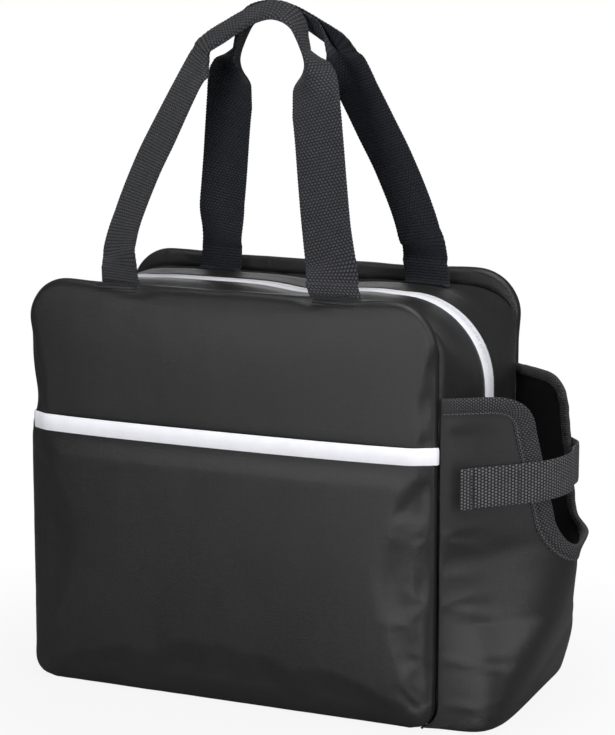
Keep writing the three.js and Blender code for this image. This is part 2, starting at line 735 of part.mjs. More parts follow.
function pouchBinding() {
  const onPouch = (p, out) => pouchUpright(pouchTurn(p.x), p.y, out - pouchThickness / 2);
  return binding(pouchEdge(), onPouch, pouchThickness, bindingReach, bindingThickness);
}

// Strap and its hook-and-loop patches

const patchOuter = fit + patchThickness;
const strapInner = patchOuter + fit + patchThickness + fit;
const strapMiddle = (turn) => strapHeight + (strapClimb * (turn - strapStart)) / (strapTailEnd - strapStart);
// The strap stands off the pouch by its patches, and comes down to the pouch where it is sewn.
const strapOut = (turn) => {
  const sewn = smooth((turn - strapEnd + 0.35) / 0.35);
  return THREE.MathUtils.lerp(strapInner, fit, sewn);
};
function bandOnPouch(turns, outAt, thickness, width) {
  const grid = (extra) =>
    turns.map((turn) =>
      [-1, 1].map((edge) => pouchUpright(turn, strapMiddle(turn) + (edge * width) / 2, outAt(turn) + extra)),
    );
  return sheet(grid(thickness), grid(0));
}
const strapGap = fit / pouchRadius;
const strapTurns = spread(strapStart, strapEnd - strapGap, 22);
const strap = () => bandOnPouch(strapTurns, strapOut, strapThickness, strapWidth);
const tailTurns = spread(strapEnd, strapTailEnd, 4);
const strapTail = () => bandOnPouch(tailTurns, () => fit, strapThickness, strapWidth);
const patchTurns = spread(strapStart + patchInset, patchEnd, 5);
const loopPatch = () => bandOnPouch(patchTurns, () => fit, patchThickness, patchWidth);
const hookPatch = () => bandOnPouch(patchTurns, () => patchOuter + fit, patchThickness, patchWidth);

// Handles

const handleSeamY = gussetEdge - webbingThickness / 2 - handleSeat;
const handleSeamZ = bodyHeight - seamDip + webbingThickness / 2 + handleSeat;

// The middle line of the front handle.
const handleLine = new THREE.CatmullRomCurve3(
  handleCourse.map(([across, inwards, up]) => {
    const y = THREE.MathUtils.lerp(handleSeamY, handleTopGap, inwards);
    return new THREE.Vector3(handleSpread * across, -y, handleSeamZ + handleRise * up);
  }),
  false,
  "catmullrom",
);

// The outline of the webbing across its length at one place, as two halves that meet in a crease.
function handleOutline(place) {
  const last = handleCourse.length - 1;
  const atEnd = place === 0 || place === last;
  const [from, to] = [Math.floor(place), Math.ceil(place)];
  const [outer, inner] = [3, 4].map((i) => {
    const angle = THREE.MathUtils.lerp(handleCourse[from][i], handleCourse[to][i], place - from);
    return THREE.MathUtils.degToRad(angle);
  });
  const middle = handleLine.getPoint(place / last);
  const along = handleLine.getTangent(place / last);
  if (atEnd) along.set(0, 0, Math.sign(along.z)); // the ends are cut level with the seam
  const front = new THREE.Vector3(0, -1, 0).projectOnPlane(along).normalize();
  const outwards = new THREE.Vector3().crossVectors(front, along);
  const move = (start, angle, distance) =>
    start
      .clone()
      .addScaledVector(outwards, Math.cos(angle) * distance)
      .addScaledVector(front, Math.sin(angle) * distance);
  const crease = webbingThickness / 2 / Math.cos((inner - outer - Math.PI) / 4);
  const corner = (angle, face, level) =>
    move(move(middle, angle, webbingWidth / 2), face, (level * webbingThickness) / 2);
  const creaseFace = (outer + inner) / 2;
  const outerFace = outer + Math.PI / 2;
  const innerFace = inner - Math.PI / 2;
  return [
    corner(outer, outerFace, 1),
    move(middle, creaseFace, crease),
    corner(inner, innerFace, 1),
    corner(inner, innerFace, -1),
    move(middle, creaseFace, -crease),
    corner(outer, outerFace, -1),
  ];
}

// side is -1 for the front handle and 1 for the back one, which is the same handle turned half round.
function handle(side) {
  const places = spread(0, handleCourse.length - 1, (handleCourse.length - 1) * handleSteps);
  const sections = places.map((place) => handleOutline(place));
  const turn = (p) => new THREE.Vector3(-side * p.x, -side * p.y, p.z);
  const turned = sections.map((section) => section.map(turn));
  const corners = [[-1, -1], [0, -1], [1, -1], [1, 1], [0, 1], [-1, 1]];
  const flat = corners.map(([x, y]) => new THREE.Vector2(x, y));
  return loft(turned, flat);
}

// The bag

const cloth = new THREE.MeshStandardMaterial({ color: 0x2b2b2e, roughness: 0.62 });
const webbing = new THREE.MeshStandardMaterial({ color: 0x26272a, roughness: 0.78 });
const bindingTape = new THREE.MeshStandardMaterial({ color: 0x2c2d30, roughness: 0.8 });
const whiteTape = new THREE.MeshStandardMaterial({ color: 0xf0f0f4, roughness: 0.6 });
const nylonCoil = new THREE.MeshStandardMaterial({ color: 0xe6e6ec, roughness: 0.42 });
const foam = new THREE.MeshStandardMaterial({ color: 0xd9dade, roughness: 0.9 });
const liner = new THREE.MeshStandardMaterial({ color: 0xb9bcc2, roughness: 0.35, metalness: 0.4 });
const hookAndLoop = new THREE.MeshStandardMaterial({ color: 0x1c1d20, roughness: 0.95 });
const paintedMetal = new THREE.MeshStandardMaterial({ color: 0xeeeef2, roughness: 0.35 });

const bag = new THREE.Group();
function add(name, solid, material, place = new THREE.Object3D()) {
  const mesh = new THREE.Mesh(geometryOf(solid), material);
  mesh.name = name;
  mesh.position.copy(place.position);
  mesh.quaternion.copy(place.quaternion);
  bag.add(mesh);
}

for (const [wallName, side] of [["front", -1], ["back", 1]]) {
  add(wallName + "_panel", lowerPart(wallCover(side)), cloth);
  add(wallName + "_panel_top", upperPart(wallCover(side)), cloth);
  add(wallName + "_foam", lowerPart(wallFoam(side)), foam);
  add(wallName + "_foam_top", upperPart(wallFoam(side)), foam);
  add(wallName + "_gusset", gusset(side), cloth);
  add(wallName + "_gusset_foam", gussetFoam(side), foam);
  add(wallName + "_gusset_liner", gussetLiner(side), liner);
  add(wallName + "_zip_tape", zipTape(side), whiteTape);
  add(wallName + "_zip_coil", mouthCoil(side), nylonCoil);
  add(wallName + "_handle", handle(side), webbing);
}
for (const end of ["left", "right"]) {
  add(end + "_end_panel", endCover(end), cloth);
  add(end + "_end_foam", endFoam(end), foam);
  add("zip_foot_" + end, zipFoot(end), whiteTape);
}
add("base_panel", baseCover(), cloth);
add("base_foam", baseFoam(), foam);
add("liner_tub", linerTub(), liner);
add("front_pocket", frontPocket(), cloth);
add("front_pocket_trim", frontPocketTrim(), whiteTape);
add("bottle_pocket", bottlePocket(), cloth);
add("bottle_pocket_binding", pouchBinding(), bindingTape);
add("strap", strap(), webbing);
add("strap_tail", strapTail(), webbing);
add("loop_patch", loopPatch(), hookAndLoop);
add("hook_patch", hookPatch(), hookAndLoop);

// The slider sits at the foot of the left end, its post towards the end of the zip, its pull hanging.
const [leftwards, towardsBack] = [new THREE.Vector3(-1, 0, 0), new THREE.Vector3(0, 1, 0)];
const [upwards, downwards] = [new THREE.Vector3(0, 0, 1), new THREE.Vector3(0, 0, -1)];
const onZip = new THREE.Object3D();
onZip.position.set(-hoopSizes(0, 0).half, 0, sliderHeight);
onZip.quaternion.setFromRotationMatrix(new THREE.Matrix4().makeBasis(upwards, towardsBack, leftwards));
add("zip_slider", sliderBody(), paintedMetal, onZip);
const hanging = new THREE.Object3D();
hanging.position.set(-hoopSizes(0, 0).half - pullAxisRise, 0, sliderHeight);
const rightwards = leftwards.clone().negate();
hanging.quaternion.setFromRotationMatrix(new THREE.Matrix4().makeBasis(downwards, towardsBack, rightwards));
add("zip_pull", pullTab(), paintedMetal, hanging);

export default bag;
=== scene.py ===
# An insulated tote bag in charcoal cloth, with a white zip and pocket trim, a notched bottle pocket and webbing
# handles. Metres, +Z up, standing on z = 0. The front faces -Y and the bottle pocket is on the +X end.
import math

import bmesh
import bpy
import numpy as np
from mathutils import Euler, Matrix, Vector, noise
from mathutils.bvhtree import BVHTree


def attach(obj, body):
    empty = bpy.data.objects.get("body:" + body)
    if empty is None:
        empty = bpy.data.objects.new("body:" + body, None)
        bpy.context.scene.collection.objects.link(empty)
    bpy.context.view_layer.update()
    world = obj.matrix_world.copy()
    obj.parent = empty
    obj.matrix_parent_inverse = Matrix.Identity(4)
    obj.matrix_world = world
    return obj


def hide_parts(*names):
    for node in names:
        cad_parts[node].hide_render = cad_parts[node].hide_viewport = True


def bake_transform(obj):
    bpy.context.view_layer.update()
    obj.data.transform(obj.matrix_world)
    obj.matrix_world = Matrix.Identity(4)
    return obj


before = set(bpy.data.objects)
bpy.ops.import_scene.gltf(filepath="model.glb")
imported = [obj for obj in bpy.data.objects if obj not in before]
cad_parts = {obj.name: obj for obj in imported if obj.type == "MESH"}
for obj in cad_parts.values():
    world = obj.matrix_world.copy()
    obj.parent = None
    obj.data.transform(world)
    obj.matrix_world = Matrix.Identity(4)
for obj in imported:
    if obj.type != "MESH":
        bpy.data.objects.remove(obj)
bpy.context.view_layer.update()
scene = bpy.context.scene
MM = 0.001
PURE_WHITE = (1, 1, 1, 1)


# Camera and light

def place_camera():
    bpy.ops.object.camera_add(location=(0.7025, -1.4739, 0.5118))
    camera = bpy.context.object
    camera.name = "photo_camera"
    camera.rotation_euler = Euler((math.radians(90 - 10.47), 0, math.radians(24.73)))
    camera.data.lens = 122.4
    camera.data.sensor_width = 36
    scene.camera = camera


def soft_light(name, place, aim, size, power):
    bpy.ops.object.light_add(type="AREA", location=place)
    lamp = bpy.context.object
    lamp.name = name
    lamp.data.shape = "DISK"
    lamp.data.size = size
    lamp.data.energy = power
    lamp.rotation_euler = (Vector(aim) - Vector(place)).to_track_quat("-Z", "Y").to_euler()


def studio():
    scene.view_settings.view_transform = "Standard"
    soft_light("key_front", (0.15, -2.25, 0.28), (0, 0, 0.18), 0.6, 24)
    soft_light("key_right", (2.1, -0.8, 0.7), (0.1, 0, 0.15), 0.9, 18)
    soft_light("top", (0.4, -0.5, 2.0), (0, 0, 0.2), 1.6, 30)
    soft_light("back", (-0.75, 1.9, 0.7), (0, 0, 0.25), 1.1, 3)
    world = scene.world or bpy.data.worlds.new("studio")
    scene.world = world
    world.use_nodes = True
    w = Wiring(world.node_tree)
    w.nodes.clear()
    room = w.add("Background", {"Color": (0.95, 0.97, 1.0, 1), "Strength": 0.14})
    backdrop = w.add("Background", {"Color": PURE_WHITE, "Strength": 1})
    w.add("OutputWorld", {"Surface": w.add("MixShader", [w.camera_ray(), room, backdrop])})
    bpy.ops.mesh.primitive_plane_add(size=9, location=(0, 0, -0.0004))
    floor = bpy.context.object
    floor.name = "studio_floor"
    paint(floor, floor_paint())


# Finishes

class Wiring:
    """Short ways to add nodes to a node tree."""

    def __init__(self, tree):
        self.nodes, self.links = tree.nodes, tree.links

    def put(self, socket, value):
        if hasattr(value, "is_linked"):
            self.links.new(value, socket)
        elif value is not None:
            socket.default_value = value

    def add(self, kind, inputs=(), output=0, **settings):
        """A new node with these settings and inputs. Returns one of its outputs."""
        node = self.nodes.new("ShaderNode" + kind)
        for key, value in settings.items():
            setattr(node, key, value)
        for key, value in inputs.items() if isinstance(inputs, dict) else enumerate(inputs):
            self.put(node.inputs[key], value)
        return node.outputs[output] if len(node.outputs) else None

    def math(self, operation, *values):
        return self.add("Math", values, operation=operation)

    def times(self, a, b):
        return self.math("MULTIPLY", a, b)

    def plus(self, a, b):
        return self.math("ADD", a, b)

    def split(self, vector):
        return self.add("SeparateXYZ", [vector]).node.outputs

    def noise(self, vector, scale, detail=3.0, rough=0.5):
        return self.add("TexNoise", {"Vector": vector, "Scale": scale, "Detail": detail, "Roughness": rough}, "Fac")

    def cells(self, vector, scale):
        return self.add("TexVoronoi", {"Vector": vector, "Scale": scale}, "Distance")

    def stretch(self, vector, scale):
        return self.add("Mapping", {"Vector": vector, "Scale": scale})

    def span(self, value, low, high, to_low=0.0, to_high=1.0):
        inputs = {"Value": value, "From Min": low, "From Max": high, "To Min": to_low, "To Max": to_high}
        return self.add("MapRange", inputs)

    def mix_colour(self, share, a, b):
        return self.add("Mix", {"Factor": share, "A": a, "B": b}, "Result", data_type="RGBA")

    def bump(self, height, distance, strength=1.0, normal=None):
        inputs = {"Height": height, "Distance": distance, "Strength": strength, "Normal": normal}
        return self.add("Bump", inputs, "Normal")

    def group(self, name, **inputs):
        return self.add("Group", inputs, node_tree=bpy.data.node_groups[name]).node.outputs

    def pattern(self):
        return self.add("UVMap", uv_map="weave")

    def place(self):
        return self.add("TexCoord", output="Object")

    def camera_ray(self):
        return self.add("LightPath", output="Is Camera Ray")


class Finish(Wiring):
    """A material."""

    def __init__(self, name):
        self.material = bpy.data.materials.new(name)
        self.material.use_nodes = True
        super().__init__(self.material.node_tree)
        self.shader = self.nodes["Principled BSDF"]

    def give(self, **values):
        for label, value in values.items():
            self.put(self.shader.inputs[label.replace("_", " ")], value)
        return self.material


class Shared(Wiring):
    """A node group that several materials use. An input without a value is a vector."""

    def __init__(self, name, inputs, outputs):
        group = bpy.data.node_groups.new(name, "ShaderNodeTree")
        for label, value in inputs.items():
            kind = "NodeSocketVector" if value is None else "NodeSocketFloat"
            socket = group.interface.new_socket(label, in_out="INPUT", socket_type=kind)
            if value is not None:
                socket.default_value = value
        for label in outputs:
            group.interface.new_socket(label, in_out="OUTPUT", socket_type="NodeSocketFloat")
        super().__init__(group)
        self.given = self.nodes.new("NodeGroupInput").outputs
        self.results = self.nodes.new("NodeGroupOutput").inputs

    def result(self, **values):
        for label, value in values.items():
            self.put(self.results[label], value)


def floor_paint():
    """A pale floor that keeps the shadow next to the bag and runs into the white backdrop further out."""
    w = Finish("studio_floor_white")
    glow = w.add("Emission", {"Color": PURE_WHITE, "Strength": 1})
    across, deep, _ = w.split(w.place())
    far = w.math("SQRT", w.plus(w.times(across, across), w.times(deep, deep)))
    share = w.times(w.camera_ray(), w.span(far, 0.16, 0.36, 0.9, 1.0))
    mix = w.add("MixShader", [share, w.shader.outputs[0], glow])
    w.put(w.nodes["Material Output"].inputs["Surface"], mix)
    return w.give(Base_Color=(0.26, 0.26, 0.26, 1), Roughness=0.9, Specular_IOR_Level=0)


def cell_profile(w, value, pitch, shift=None):
    """0 at the edge of each cell of that pitch, and 1 at its middle."""
    cell = w.math("DIVIDE", value, pitch)
    if shift is not None:
        cell = w.plus(cell, shift)
    part = w.math("SUBTRACT", w.math("FRACT", cell), 0.5)
    return w.math("SUBTRACT", 1.0, w.times(w.times(part, part), 4.0))


def every_other(w, value, pitch):
    """Half a cell in every other row, and none in the rows between."""
    row = w.math("FLOOR", w.math("DIVIDE", value, pitch))
    return w.times(w.math("MODULO", w.math("ABSOLUTE", row), 2.0), 0.5)


def webbing_weave():
    """Rows of plump yarns across the webbing, each row half a yarn along from the next, on the pattern's metres. The
    second output marks the hollows between the yarns, where shade is painted.
    """
    w = Shared("webbing_weave", {"Pattern": None, "Across": 0.0019, "Along": 0.0017}, ["Height", "Gap"])
    pattern, yarn_width, yarn_length = (w.given[k] for k in ("Pattern", "Across", "Along"))
    across, along, _ = w.split(pattern)
    wobble = w.times(w.math("SUBTRACT", w.noise(pattern, 700.0, 2.0), 0.5), 0.0004)
    across, along = w.plus(across, wobble), w.plus(along, wobble)
    odd = every_other(w, along, yarn_length)
    yarn = w.times(cell_profile(w, along, yarn_length), cell_profile(w, across, yarn_width, odd))
    yarn = w.math("POWER", yarn, 0.6)
    strand = w.math("SINE", w.times(across, 16000.0))
    w.result(Height=w.plus(yarn, w.times(strand, 0.04)), Gap=w.span(yarn, 0.5, 0.93, 1.0, 0.0))


def plain_weave():
    """A fine plain weave with a slightly raised square grid, on the pattern's metres."""
    w = Shared("plain_weave", {"Pattern": None, "Thread": 0.00042, "Grid": 0.0045}, ["Height", "Ripstop", "Slub"])
    pattern, thread, grid = (w.given[k] for k in ("Pattern", "Thread", "Grid"))
    across, along, _ = w.split(pattern)
    odd = every_other(w, across, thread)
    weave = w.times(cell_profile(w, across, thread), cell_profile(w, along, w.times(thread, 1.6), odd))
    lines = w.math("MINIMUM", cell_profile(w, across, grid), cell_profile(w, along, grid))
    ripstop = w.span(lines, 0.0, 0.28, 1.0, 0.0)
    slub = w.noise(w.stretch(pattern, (260.0, 1500.0, 1.0)), 1.0, 1.0)
    height = w.plus(w.plus(weave, w.times(slub, 0.9)), w.times(ripstop, 0.35))
    w.result(Height=height, Ripstop=ripstop, Slub=slub)


def soft_creases():
    """Low, long creases and finer crumples, as thin cloth over padding has."""
    w = Shared("soft_creases", {"Place": None, "Size": 1.0}, ["Height", "Shade"])
    place = w.stretch(w.given["Place"], (1.0, 1.0, 0.55))
    broad = w.noise(place, w.math("DIVIDE", 16.0, w.given["Size"]), 2.0)
    fine = w.noise(place, w.math("DIVIDE", 60.0, w.given["Size"]), 2.0, 0.45)
    w.result(Height=w.plus(w.times(broad, 0.6), w.times(fine, 0.11)), Shade=w.noise(place, 38.0, 4.0, 0.6))


def lint():
    """Sparse pale specks of lint and dust."""
    w = Shared("lint", {"Place": None, "Amount": 0.1}, ["Mask"])
    place = w.given["Place"]
    spot = w.span(w.cells(place, 260.0), 0.0, 0.1, 1.0, 0.0)
    some = w.span(w.noise(place, 60.0, 2.0), 0.55, 0.75)
    w.result(Mask=w.times(w.times(spot, some), w.given["Amount"]))


LINT_COLOUR = (0.3, 0.3, 0.3, 1)


def shaded(colour, share):
    return [c * share for c in colour[:3]] + [1]


def cloth_finish(name, colour, pale, creases=1.0):
    w = Finish(name)
    place = w.place()
    weave = w.group("plain_weave", Pattern=w.pattern())
    crease = w.group("soft_creases", Place=place)
    specks = w.group("lint", Place=place, Amount=0.12)
    tone = w.mix_colour(w.span(crease["Shade"], 0.3, 0.7), colour, pale)
    tone = w.mix_colour(w.times(w.span(weave["Slub"], 0.35, 0.7), 0.3), tone, shaded(pale, 1.8))
    tone = w.mix_colour(w.times(weave["Ripstop"], 0.08), tone, shaded(pale, 1.9))
    normal = w.bump(crease["Height"], 0.003 * creases, 0.5)
    return w.give(
        Base_Color=w.mix_colour(specks["Mask"], tone, LINT_COLOUR),
        Roughness=w.span(crease["Shade"], 0.25, 0.75, 0.34, 0.4),
        Normal=w.bump(weave["Height"], 0.00006, 0.8, normal),
        Sheen_Weight=0.02,
        Sheen_Roughness=0.5,
        Specular_IOR_Level=0.4,
    )


def webbing_finish(name, colour, pale, across, along):
    w = Finish(name)
    place = w.place()
    weave = w.group("webbing_weave", Pattern=w.pattern(), Across=across, Along=along)
    tone = w.mix_colour(w.noise(place, 140.0, 3.0), colour, pale)
    # Painted shade: the hollows between the yarns are darkened to near black.
    tone = w.mix_colour(weave["Gap"], tone, (0.0015, 0.0015, 0.003, 1))
    return w.give(
        Base_Color=w.mix_colour(w.group("lint", Place=place, Amount=0.2)["Mask"], tone, LINT_COLOUR),
        Roughness=w.span(weave["Height"], 0.0, 1.0, 0.85, 0.6),
        Normal=w.bump(weave["Height"], 0.0005, 0.9),
        Sheen_Weight=0.1,
        Specular_IOR_Level=0.35,
    )


def white_tape_finish(name, colour):
    w = Finish(name)
    weave = w.group("plain_weave", Pattern=w.pattern(), Thread=0.0007, Grid=0.02)
    return w.give(
        Base_Color=w.mix_colour(w.span(w.noise(w.place(), 60.0, 3.0), 0.3, 0.7), colour, shaded(colour, 0.93)),
        Roughness=w.span(weave["Height"], 0.0, 1.2, 0.8, 0.62),
        Normal=w.bump(weave["Height"], 0.0001, 0.6),
        Specular_IOR_Level=0.3,
    )


def foil_finish():
    w = Finish("foil_lining")
    crease = w.group("soft_creases", Place=w.place(), Size=0.5)
    weave = w.group("plain_weave", Pattern=w.pattern(), Thread=0.0011, Grid=0.006)
    share = w.span(crease["Shade"], 0.3, 0.7)
    return w.give(
        Base_Color=w.mix_colour(share, (0.56, 0.57, 0.59, 1), (0.44, 0.45, 0.48, 1)),
        Roughness=w.span(crease["Shade"], 0.3, 0.7, 0.3, 0.46),
        Normal=w.bump(weave["Height"], 0.00012, 0.5, w.bump(crease["Height"], 0.002, 0.9)),
        Metallic=0.75,
    )


def pile_finish(name, scale, colour):
    """Hook or loop tape: a dense pile of short nylon hairs, with painted shade darkening the gaps between them."""
    w = Finish(name)
    place = w.place()
    hairs = w.cells(place, scale)
    # Painted shade: the colour darkens towards near black between the hairs, where the bump is lowest.
    return w.give(
        Base_Color=w.mix_colour(hairs, colour, (0.002, 0.002, 0.002, 1)),
        Roughness=w.span(w.noise(place, 300.0), 0.3, 0.7, 0.75, 0.95),
        Normal=w.bump(w.math("SUBTRACT", 1.0, hairs), 0.0006, 1.0),
    )


def enamel_finish():
    w = Finish("white_enamel")
    place = w.place()
    wear = w.span(w.noise(place, 420.0, 4.0, 0.7), 0.66, 0.72)
    return w.give(
        Base_Color=w.mix_colour(wear, (0.83, 0.83, 0.86, 1), (0.6, 0.6, 0.62, 1)),
        Roughness=w.span(w.noise(place, 250.0, 3.0), 0.3, 0.7, 0.26, 0.4),
        Normal=w.bump(w.noise(place, 700.0, 2.0), 0.00004, 0.4),
        Coat_Weight=0.3,
    )


def thread_finish(name, colour):
    w = Finish(name)
    place = w.place()
    twist = w.math("SINE", w.times(w.noise(place, 1500.0, 2.0), 20.0))
    return w.give(
        Base_Color=w.mix_colour(w.noise(place, 900.0), colour, shaded(colour, 0.6)),
        Roughness=w.span(twist, -1.0, 1.0, 0.5, 0.7),
        Normal=w.bump(twist, 0.00005, 0.6),
    )


webbing_weave()
plain_weave()
soft_creases()
lint()
CHARCOAL, WORN_CHARCOAL = (0.0092, 0.0092, 0.0096, 1), (0.012, 0.012, 0.0124, 1)
CLOTH = cloth_finish("charcoal_cloth", CHARCOAL, WORN_CHARCOAL)
POCKET_CLOTH = cloth_finish("charcoal_pocket_cloth", CHARCOAL, WORN_CHARCOAL, 0.7)
# The back handle has the same webbing as the front one, painted darker and bluer: painted shade, because its inner face
# lies in shadow.
HANDLE_WEBBING = {
    "front": webbing_finish("charcoal_webbing", (0.019, 0.02, 0.024, 1), (0.057, 0.059, 0.068, 1), 0.0024, 0.002),
    "back": webbing_finish("charcoal_webbing_painted_shade", (0.008, 0.011, 0.021, 1), (0.02, 0.026, 0.045, 1), 0.0024, 0.002),
}
STRAP_WEBBING = webbing_finish(
    "charcoal_strap_webbing", (0.08, 0.08, 0.085, 1), (0.165, 0.165, 0.175, 1), 0.002, 0.0022
)
BINDING = webbing_finish("charcoal_binding", (0.045, 0.045, 0.05, 1), (0.085, 0.085, 0.092, 1), 0.0019, 0.0014)
WHITE = white_tape_finish("white_tape", (0.92, 0.92, 0.97, 1))
COIL = white_tape_finish("white_coil", (0.84, 0.84, 0.89, 1))
FOIL = foil_finish()
LOOP = pile_finish("loop_tape", 1500.0, (0.02, 0.02, 0.022, 1))
HOOK = pile_finish("hook_tape", 1100.0, (0.03, 0.03, 0.032, 1))
ENAMEL = enamel_finish()
THREAD = thread_finish("charcoal_thread", (0.02, 0.02, 0.022, 1))
PALE_THREAD = thread_finish("grey_thread", (0.13, 0.13, 0.137, 1))
# Near-black navy thread, for the handles' real stitches and for rows that paint shade: a shadow line inside the bottle
# pocket's binding and the shade under the front handle's feet.
DARK_THREAD_AND_SHADE = thread_finish("navy_thread_and_painted_shade", (0.006, 0.007, 0.014, 1))


# The shape of the bag, in millimetres

HALF_WIDTH, HEIGHT, WALL = 145.0, 273.0, 72.0
TOP_RADIUS, BASE_RADIUS, TOP_GROWTH = 30.0, 16.0, 27.0
SWELL, SAG = 7.0, 7.0
# How deep the dip beside the seams and the fall beside the zip are, where each starts, and how wide it is.
DIP, DIP_START, DIP_WIDTH = 2.5, 63, 4
VALLEY, VALLEY_START, VALLEY_WIDTH = 8.0, 20, 36
SEAM, FOLD, FOLD_END, FOLD_WALL = 67.0, 218.0, 252.0, 76.7
ZIP_FOOT, POCKET_TOP, POCKET_HALF, POCKET_FOOT = 150.0, 182.0, 143.6, 1.4
POUCH_TOP, POUCH_REACH, POUCH_POWER = 212.0, 66.0, 1.65
POUCH_RADIUS, POUCH_STANDOFF, POUCH_FOLD, POUCH_OVERLAP, BOUND_WIDTH = 62.0, 1.4, 7.0, 3.2, 9
FLARE, FLARE_TURN, FLARE_HEIGHT = 6.5, 101, 117
NOTCH_HALF, NOTCH_FOOT, NOTCH_FOOT_HALF, NOTCH_CORNER = 31.0, 111.0, 19.0, 22.0
LINING_EDGE, LINING_DEPTH, FOIL_THICKNESS = 64.6, 8.4, 0.0006
SIDES = (("front", -1), ("back", 1))


def clamp01(value):
    return min(max(value, 0.0), 1.0)


def smooth(value):
    value = clamp01(value)
    return value * value * (3 - 2 * value)


def hump(value, middle, width):
    """1 at the middle, falling off to 0 on both sides."""
    return math.exp(-(((value - middle) / width) ** 2))


def spread(start, stop, steps):
    """Evenly spaced values from start to stop, both included."""
    return [start + (stop - start) * i / steps for i in range(steps + 1)]


def mirrored(rows):
    return rows + [0.0] + [-y for y in reversed(rows)]


def loop_place(leg, t, half, top, bottom, top_radius, base_radius):
    """The place (x, z) along one leg of a rounded rectangle, seen from the front."""
    side = -1 if leg.startswith("left") else 1
    across, up = math.cos(t * math.pi / 2), math.sin(t * math.pi / 2)
    if leg == "top":
        return (half - top_radius) * (2 * t - 1), top
    if leg == "base":
        return (half - base_radius) * (1 - 2 * t), bottom
    if leg.endswith("Side"):
        low = bottom + base_radius
        return side * half, low + (top - top_radius - low) * t
    if leg.endswith("Corner"):
        return side * (half - top_radius + top_radius * across), top - top_radius + top_radius * up
    return side * (half - base_radius + base_radius * across), bottom + base_radius - base_radius * up


def hoop_point(leg, t, y, depth=0.0):
    """A point of the hoop of ends, top and base, at that depth under its cloth."""
    swell = 1 - (y / WALL) ** 2
    dip = DIP * clamp01((abs(y) - DIP_START) / DIP_WIDTH) ** 2
    valley = VALLEY * smooth((abs(y) - VALLEY_START) / VALLEY_WIDTH)
    top = HEIGHT - SAG * swell - dip - depth
    if leg.endswith("Corner"):
        top -= valley * math.sin(t * math.pi / 2) ** 2
    half, bottom = HALF_WIDTH + SWELL * swell - dip - depth, dip + depth
    x, z = loop_place(leg, t, half, top, bottom, TOP_RADIUS + TOP_GROWTH * swell - depth, BASE_RADIUS - depth)
    if leg == "top":
        sway = (1.0 - 3.8 * hump(x, 27, 24)) * swell * smooth((1 - abs(2 * t - 1)) * 4)
        z += sway - valley
    return Vector((x, y, z))


def outline_point(leg, t, inset):
    """The place (x, z) on a wall's outline at that inset, beside a station of the hoop."""
    half, high, low = HALF_WIDTH - inset, HEIGHT - inset, max(inset, 0) * 0.7
    return loop_place(leg, t, half, high, low, max(TOP_RADIUS - inset, 6.0), max(BASE_RADIUS - inset, 6.0))


def legs(*rows):
    """Stations along legs of the hoop. Each row is a leg, its start, its end and its steps."""
    return [(leg, t) for leg, start, stop, steps in rows for t in spread(start, stop, steps)[:-1]]


def height_share(z):
    """How far up the straight side of the hoop a height lies."""
    low, high = hoop_point("leftSide", 0, 0.0).z, hoop_point("leftSide", 1, 0.0).z
    return (z - low) / (high - low)


LOOP_STATIONS = legs(
    ("leftFoot", 0.5, 1, 3), ("base", 1, 0, 50), ("rightFoot", 1, 0, 6), ("rightSide", 0, 1, 44),
    ("rightCorner", 0, 1, 10), ("top", 1, 0, 46), ("leftCorner", 1, 0, 10), ("leftSide", 1, 0, 44),
    ("leftFoot", 0, 0.5, 3),
)
COLUMNS, ROWS = 56, 52
BORDER = [(c, 0) for c in range(COLUMNS)] + [(COLUMNS, r) for r in range(ROWS)]
BORDER += [(c, ROWS) for c in range(COLUMNS, 0, -1)] + [(0, r) for r in range(ROWS, 0, -1)]


def wall_grid(rim):
    """Points (x, z) of a grid whose border is the rim, filled in smoothly between its four sides."""
    grid = np.zeros((ROWS + 1, COLUMNS + 1, 2))
    at = {place: np.array(p) for place, p in zip(BORDER, rim)}
    for r in range(ROWS + 1):
        for c in range(COLUMNS + 1):
            u, v = c / COLUMNS, r / ROWS
            sides = (1 - v) * at[c, 0] + v * at[c, ROWS] + (1 - u) * at[0, r] + u * at[COLUMNS, r]
            low = (1 - u) * at[0, 0] + u * at[COLUMNS, 0]
            high = (1 - u) * at[0, ROWS] + u * at[COLUMNS, ROWS]
            grid[r, c] = sides - (1 - v) * low - v * high
    return grid


def crown(x, z, height):
    """How far a padded wall stands out, from 0 at its rim to the height in its middle."""
    across, up = x / HALF_WIDTH, (z - HEIGHT / 2) / (HEIGHT / 2)
    return height * max(1 - 0.5 * across ** 2 - 0.5 * across ** 4, 0) * max(1 - up ** 8, 0)


# Making meshes

def select_only(obj):
    bpy.ops.object.select_all(action="DESELECT")
    obj.select_set(True)
    bpy.context.view_layer.objects.active = obj


def make_object(name, points, faces, pattern=None):
    """A mesh object from points in millimetres, with the pattern's metres as its UV map. With an empty pattern each
    face has a whole square of the map to itself."""
    mesh = bpy.data.meshes.new(name)
    mesh.from_pydata([tuple(c * MM for c in p) for p in points], [], [tuple(f) for f in faces])
    mesh.update()
    if pattern is not None:
        layer = mesh.uv_layers.new(name="weave")
        for loop in mesh.loops if pattern else ():
            layer.data[loop.index].uv = pattern[loop.vertex_index]
    obj = bpy.data.objects.new(name, mesh)
    scene.collection.objects.link(obj)
    return obj


def add_modifier(obj, kind, **values):
    select_only(obj)
    modifier = obj.modifiers.new(kind.lower(), kind)
    for key, value in values.items():
        setattr(modifier, key, value)
    bpy.ops.object.modifier_apply(modifier=modifier.name)


def thicken_cloth(obj, thickness, offset):
    add_modifier(obj, "SUBSURF", levels=1, render_levels=1)
    add_modifier(obj, "SOLIDIFY", thickness=thickness, offset=offset)


